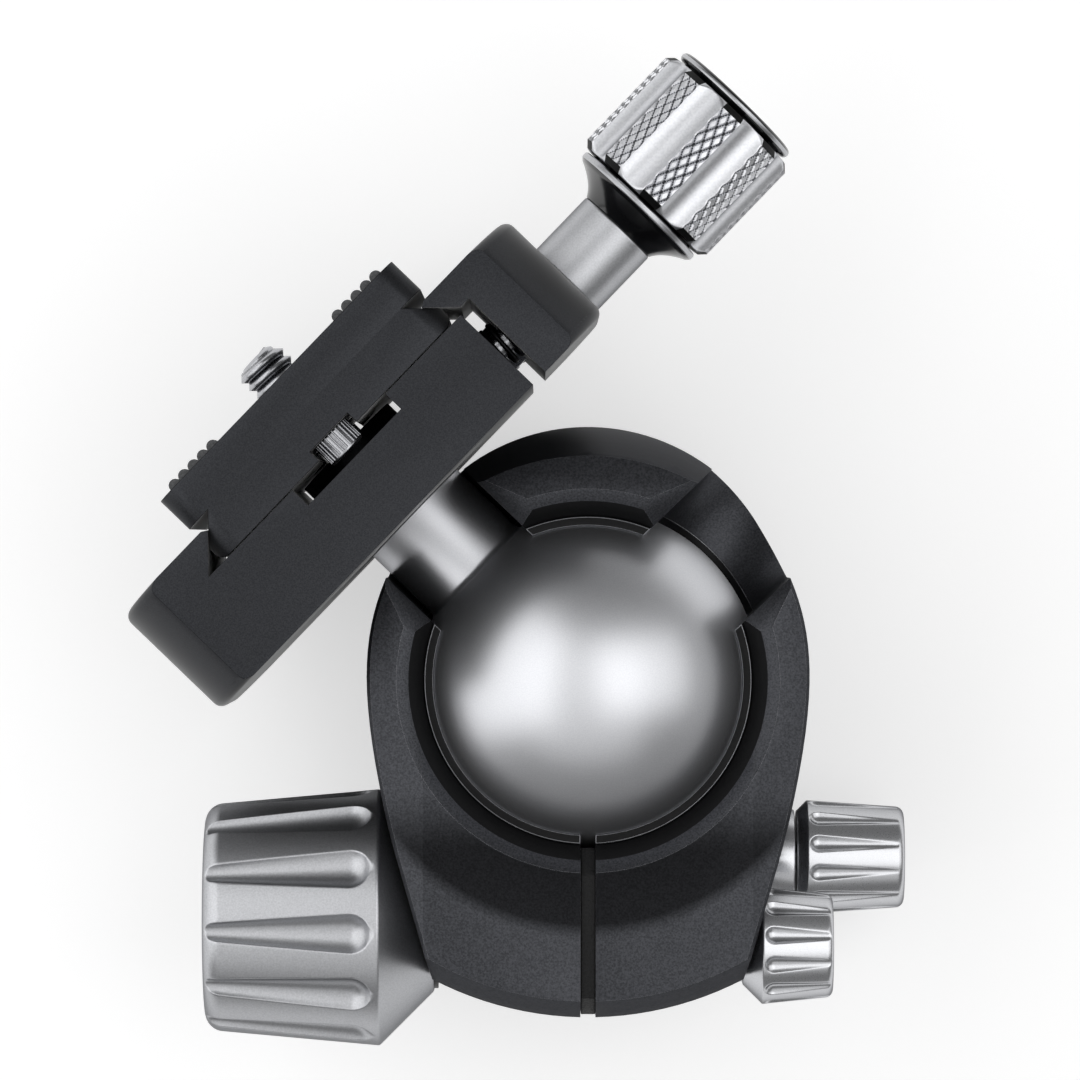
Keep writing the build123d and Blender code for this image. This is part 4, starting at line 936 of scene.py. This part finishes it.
def knurled_grip(name, start, end, radius, bore):
    """Sleeve whose lands carry diamonds; the grid follows the knurl's own half diamonds."""
    knobs = settings().knobs
    scallops = knobs.scallops
    sector = 2 * pi / scallops
    centre = radius + knobs.scallop_radius - knobs.scallop_depth
    half = acos((centre ** 2 + radius ** 2 - knobs.scallop_radius ** 2) / (2 * centre * radius))
    fine = 4                    # columns and rows in half a diamond
    sloped = 0.5                # share of a half diamond that its slopes take up
    groove = 0.3                # faces of a lower height belong to a groove and take its painted shade
    chamfer = knobs.grip_chamfer
    face = end - start - 2 * chamfer
    land_columns = knobs.knurl_steps * fine
    knurl_rows = max(2, round(face / (knobs.knurl_length / 2))) * fine
    scallop_columns = 14

    def knurl(column, row):
        """Height of the diamonds, from 0 in a groove to 1 on a flat top."""
        a, b = column / fine, row / fine
        nearest = min(abs((a + b + 1) % 2 - 1), abs((a - b + 1) % 2 - 1))
        return min(nearest / sloped, 1.0)

    columns = []
    for k in range(scallops):
        middle = knobs.scallop_turn + k * sector
        for i in range(scallop_columns):
            turn = -half * cos(pi * i / scallop_columns)
            floor_radius = centre * cos(turn) - sqrt(
                max(knobs.scallop_radius ** 2 - (centre * sin(turn)) ** 2, 0))
            columns.append((middle + turn, min(floor_radius, radius), None))
        for i in range(land_columns):
            turn = half + (sector - 2 * half) * i / land_columns
            columns.append((middle + turn, radius, i))
    steps = 6
    slope = [(chamfer * i / steps, radius - chamfer * (1 - i / steps)) for i in range(steps)]
    rim = radius - 1.6 * chamfer
    rows = [(start, bore, False), (start, rim, False)]
    rows += [(start + depth, limit, False) for depth, limit in slope]
    rows += [(start + chamfer + face * i / knurl_rows, radius, i) for i in range(knurl_rows + 1)]
    rows += [(end - depth, limit, False) for depth, limit in reversed(slope)]
    rows += [(end, rim, False), (end, bore, False)]
    verts, faces, flat, shades = [], [], [], []
    for distance, limit, row in rows:
        for turn, outer, column in columns:
            depth = min(limit, outer)
            if row is not False and column is not None and 0 < row < knurl_rows:
                depth -= knobs.knurl_depth * (1 - knurl(column, row))
            verts.append((*polar(depth, turn), distance))
    wide = len(columns)
    for r in range(len(rows)):
        above = (r + 1) % len(rows)
        for c in range(wide):
            n = (c + 1) % wide
            a, b = r * wide + c, r * wide + n
            d, e = above * wide + n, above * wide + c
            on_land = columns[c][2] is not None
            row = rows[r][2]
            if on_land and row is not False and rows[above][2] is not False:
                rising = (columns[c][2] // fine + row // fine) % 2 == 0
                faces += [(a, b, d), (a, d, e)] if rising else [(a, b, e), (b, d, e)]
                middle = knurl(columns[c][2] + 0.5, row + 0.5)
                flat += [True, True]
                # faces by a groove take the painted shade of the grooves
                shades += [int(middle < groove)] * 2
            else:
                faces.append((a, b, d, e))
                flat.append(False)
                # the chamfers and ends of the lands take the near-black painted shade
                shades.append(2 if on_land else 0)
    piece = piece_from(name, verts, faces, CLAMP_KNOB)
    hand_over(piece, knurled_clear_anodised_aluminium, "knob_grip")
    # the painted shade of the grooves, and the near-black painted shade
    for recipe in (painted_shade_in_knurl_grooves, painted_shade_black):
        piece.data.materials.append(finish(recipe))
    for polygon, is_flat, shade in zip(piece.data.polygons, flat, shades):
        polygon.use_smooth = not is_flat
        polygon.material_index = shade


class BALLHEAD_OT_plate(bpy.types.Operator):
    """Finishes the dovetail plate and makes its pads, screws and pin"""
    bl_idname = "ballhead.plate"
    bl_label = "Plate"

    def execute(self, context):
        edges, plate = settings().edges, settings().plate
        # painted shade: the plate's rounded edges are coloured near black
        rounded_copy("dovetail_plate", "quick_plate", fine_blasted_black_anodised_aluminium,
                     edges.body_edge, painted_shade_black)
        make_pads(plate.pad_ridges)
        make_stop_screws(plate.head_ridges)
        make_camera_screw(plate.thread_pitch)
        rounded_copy("locating_pin", "twist_pin", turned_steel, 2 * edges.small_edge)
        low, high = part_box("twist_pin")
        pin = place_on((low + high) / 2, CLAMP_V, CLAMP_U)
        start, end, outer = reach("pin_spring", pin)
        wire = 0.13 * MM
        spring = grow("pin_coil", coil_tree(), pin, [(0, 0, start + wire)], turned_steel,
                      Radius=outer - wire, Height=end - start - 2 * wire, Turns=6.0,
                      Section_Radius=wire, Section_Sides=10)
        spring.data.shade_smooth()
        hand_over(spring, turned_steel, "pin_spring")
        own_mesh(spring)
        return {"FINISHED"}


def make_pads(ridges):
    """Two pads with rounded ridges along the clamp, over a flat sole in the plate's recess."""
    place = place_on(BALL_CENTRE, UP, CLAMP_U)
    low, high = span("grip_pads", place)
    sole_top = span("quick_plate", place)[1].y
    inner = min(abs(p.x) for p in local_points("grip_pads", place))
    pitch = (high.x - inner) / ridges
    radius = 0.5 * pitch
    pieces = []
    for side in (-1, 1):
        left, right = sorted((side * inner, side * high.x))
        corners = [(x, y, z) for z in (low.z, high.z)
                   for x, y in ((left, low.y), (right, low.y), (right, sole_top), (left, sole_top))]
        faces = [(0, 1, 2, 3), (4, 5, 6, 7)]
        faces += [(i, (i + 1) % 4, (i + 1) % 4 + 4, i + 4) for i in range(4)]
        pieces.append(piece_from("sole", corners, faces, place, smooth=False))
    points = [(side * (inner + pitch * (i + 0.5)), high.y - radius, low.z)
              for side in (-1, 1) for i in range(ridges)]
    pieces.append(grow("ridges", bar_tree(), place, points, ribbed_grey_rubber,
                       Length=high.z - low.z, Section_Radius=radius, Section_Sides=16))
    hand_over(merge("rubber_pads", *pieces), ribbed_grey_rubber, "grip_pads")


def make_stop_screws(ridges):
    """Two cap screws under the plate, each with a ring of knurl ridges round its head."""
    low, high = span("stop_screws", NECK)
    head = (high.x - low.x) / 2
    spread = (high.y - low.y) / 2 - head
    seat = low.z + 3.0 * MM         # where the head ends and the shank starts
    shank = 1.5 * MM
    socket = 0.5 * head
    socket_floor = low.z + 1.8 * MM
    ridge = 0.14 * MM
    core = head - ridge
    pieces = []
    for side in (-1, 1):
        place = NECK @ Matrix.Translation((0, side * spread, 0))
        outline = [(socket_floor, 0), (socket_floor, socket), (low.z, socket),
                   (low.z, core), (seat, core), (seat, shank), (high.z, shank), (high.z, 0)]
        pieces.append(turned("cap_screw", place, soften(outline, 0.25 * MM), 72))
        points = [(*polar(core, 2 * pi * i / ridges), low.z + 0.35 * MM) for i in range(ridges)]
        pieces.append(grow("head_ridges", bar_tree(), place, points, turned_steel,
                           Length=seat - low.z - 0.45 * MM, Section_Radius=ridge,
                           Section_Sides=6))
    hand_over(merge("safety_screws", *pieces), turned_steel, "stop_screws")


def make_camera_screw(pitch):
    """Slotted head under the plate, plain neck through it and the camera thread above it."""
    start, end, head = reach("camera_screw", NECK)
    plate_top = span("quick_plate", NECK)[1].z
    thread = 3.175 * MM             # outer radius of the 1/4 inch thread
    minor = thread - 0.61 * pitch
    core = minor + 0.06 * MM        # the ridge is wound round this radius
    neck = 2.35 * MM
    neck_end = plate_top + 0.2 * MM
    head_top = start + 2.2 * MM
    slot_floor, slot_half = start + 1.2 * MM, 0.8 * MM
    outline = [(slot_floor, 0), (slot_floor, head), (head_top, head), (head_top, neck),
               (neck_end, neck), (neck_end, minor), (end - 0.4 * MM, minor),
               (end, minor - 0.5 * MM), (end, 0)]
    body = turned("screw_body", NECK, soften(outline, 0.15 * MM), 120)
    half_turn = acos(slot_half / head)
    pieces = [body]
    for side in (0, pi):
        rim = [polar(head, side - half_turn + 2 * half_turn * i / 40) for i in range(41)]
        verts = [(x, y, z) for z in (start, slot_floor) for x, y in rim]
        count = len(rim)
        faces = [tuple(range(count)), tuple(range(count, 2 * count))]
        faces += [(i, (i + 1) % count, count + (i + 1) % count, count + i) for i in range(count)]
        pieces.append(piece_from("head_half", verts, faces, NECK, smooth=False))
    run = end - plate_top - 0.9 * MM        # of the thread, clear of both its ends
    pieces.append(grow("camera_thread", coil_tree(), NECK, [(0, 0, plate_top + 0.45 * MM)],
                       turned_steel, Radius=core, Height=run, Turns=run / pitch,
                       Section_Radius=thread - core, Section_Sides=4))
    hand_over(merge("camera_screw_threaded", *pieces), turned_steel, "camera_screw")


# ---- studio
EYE = (-5.54 * MM, 16.2 * MM, 938 * MM)     # the camera looks straight down from here
FLOOR_HALF, FLOOR_DROP = 3.0, 0.05 * MM
# panel, lean off the vertical, heading, distance, width and height, radiance, rise
LAMPS = (("Left_box", 68, 171, 0.4, (0.66, 0.57), 1.22, 0.14),
         ("Right_box", 37, 7, 0.45, (0.4, 0.56), 1.1, 0.0),
         ("Top_box", 12, -90, 0.62, (0.9, 1.15), 0.54, 0.0))


def paper_floor(tree, shader):
    """Matt white paper: it takes the soft shadow, and stays pale to the eye and in reflections."""
    studio = settings().studio
    tree.nodes.remove(shader)
    fibres = grain(tree, 1.5 * MM, 2.0)
    paper = add(tree, "ShaderNodeBsdfDiffuse", {"Color": (*studio.floor_colour, 1)})
    nap = add(tree, "ShaderNodeBump", {"Height": fibres, "Distance": 0.01 * MM})
    tree.links.new(nap.outputs["Normal"], paper.inputs["Normal"])
    ray = add(tree, "ShaderNodeLightPath").outputs
    seen = ray["Is Camera Ray"]
    for kind in ("Is Glossy Ray", "Is Transmission Ray"):
        seen = add(tree, "ShaderNodeMath", {0: seen, 1: ray[kind]}, operation="MAXIMUM").outputs[0]
    lift = add(tree, "ShaderNodeMath", {0: seen, 1: studio.floor_lift}, operation="MULTIPLY")
    glow = add(tree, "ShaderNodeEmission", {"Strength": lift.outputs[0]})
    both = add(tree, "ShaderNodeAddShader", {0: paper.outputs[0], 1: glow.outputs[0]})
    tree.links.new(both.outputs[0], tree.nodes["Material Output"].inputs["Surface"])


def soft_box(name, lean, heading, distance, size, radiance, rise):
    """Panel lamp that looks at the ball from an angle off the vertical, on a heading; a rise
    slides it up along its own plane, so that its lower edge stays clear of the floor."""
    lean, heading = radians(lean), radians(heading)
    away = Vector((sin(lean) * cos(heading), sin(lean) * sin(heading), cos(lean)))
    lamp = bpy.data.lights.new(name, "AREA")
    lamp.shape = "RECTANGLE"
    lamp.size, lamp.size_y = size
    lamp.energy = radiance * pi * size[0] * size[1]
    panel = new_object(name, lamp)
    turn = away.to_track_quat("Z", "Y")
    panel.location = BALL_CENTRE + away * distance + turn @ Vector((0, rise, 0))
    panel.rotation_euler = turn.to_euler()
    panel.visible_camera = False


class BALLHEAD_OT_stage(bpy.types.Operator):
    """Lays the pale floor, hangs the soft boxes and sets the camera straight above"""
    bl_idname = "ballhead.stage"
    bl_label = "Stage"

    def execute(self, context):
        scene = context.scene
        studio = settings().studio
        scene.view_settings.view_transform = "Standard"
        corners = [(FLOOR_HALF * x, FLOOR_HALF * y, 0)
                   for x, y in ((-1, -1), (1, -1), (1, 1), (-1, 1))]
        sheet = piece_from("floor", corners, [(0, 1, 2, 3)],
                           Matrix.Translation((0, 0, -FLOOR_DROP)), smooth=False)
        sheet.data.materials.append(finish(paper_floor))

        world = bpy.data.worlds.new("Room")
        world.use_nodes = True
        background = world.node_tree.nodes["Background"].inputs
        background["Color"].default_value = (1, 1, 1, 1)
        background["Strength"].default_value = studio.surround
        scene.world = world
        for lamp in LAMPS:
            soft_box(*lamp)

        lens = bpy.data.cameras.new("Overhead")
        lens.angle = studio.lens_angle
        scene.camera = new_object("Overhead", lens)
        scene.camera.location = EYE
        return {"FINISHED"}


STEPS = (BALLHEAD_OT_stage, BALLHEAD_OT_collar, BALLHEAD_OT_base, BALLHEAD_OT_ball,
         BALLHEAD_OT_side_knobs, BALLHEAD_OT_clamp, BALLHEAD_OT_clamp_knob, BALLHEAD_OT_plate)


class BALLHEAD_PT_panel(bpy.types.Panel):
    """Lists the steps and their settings in the 3D view's sidebar"""
    bl_label = "Ball Head"
    bl_idname = "BALLHEAD_PT_panel"
    bl_space_type = "VIEW_3D"
    bl_region_type = "UI"
    bl_category = "Ball Head"

    def draw(self, context):
        for step in STEPS:
            self.layout.operator(step.bl_idname)
        for group in (settings().edges, settings().knobs, settings().plate, settings().studio):
            box = self.layout.box()
            for name in group.__annotations__:
                box.prop(group, name)


CLASSES = (EdgeSettings, KnobSettings, PlateSettings, StudioSettings, BallHeadSettings,
           *STEPS, BALLHEAD_PT_panel)


def register():
    for item in CLASSES:
        bpy.utils.register_class(item)
    bpy.types.Scene.ball_head = PointerProperty(type=BallHeadSettings)


def unregister():
    del bpy.types.Scene.ball_head
    for item in reversed(CLASSES):
        bpy.utils.unregister_class(item)


def main():
    register()
    for step in STEPS:
        group, name = step.bl_idname.split(".")
        getattr(getattr(bpy.ops, group), name)()


if __name__ == "__main__":
    main()
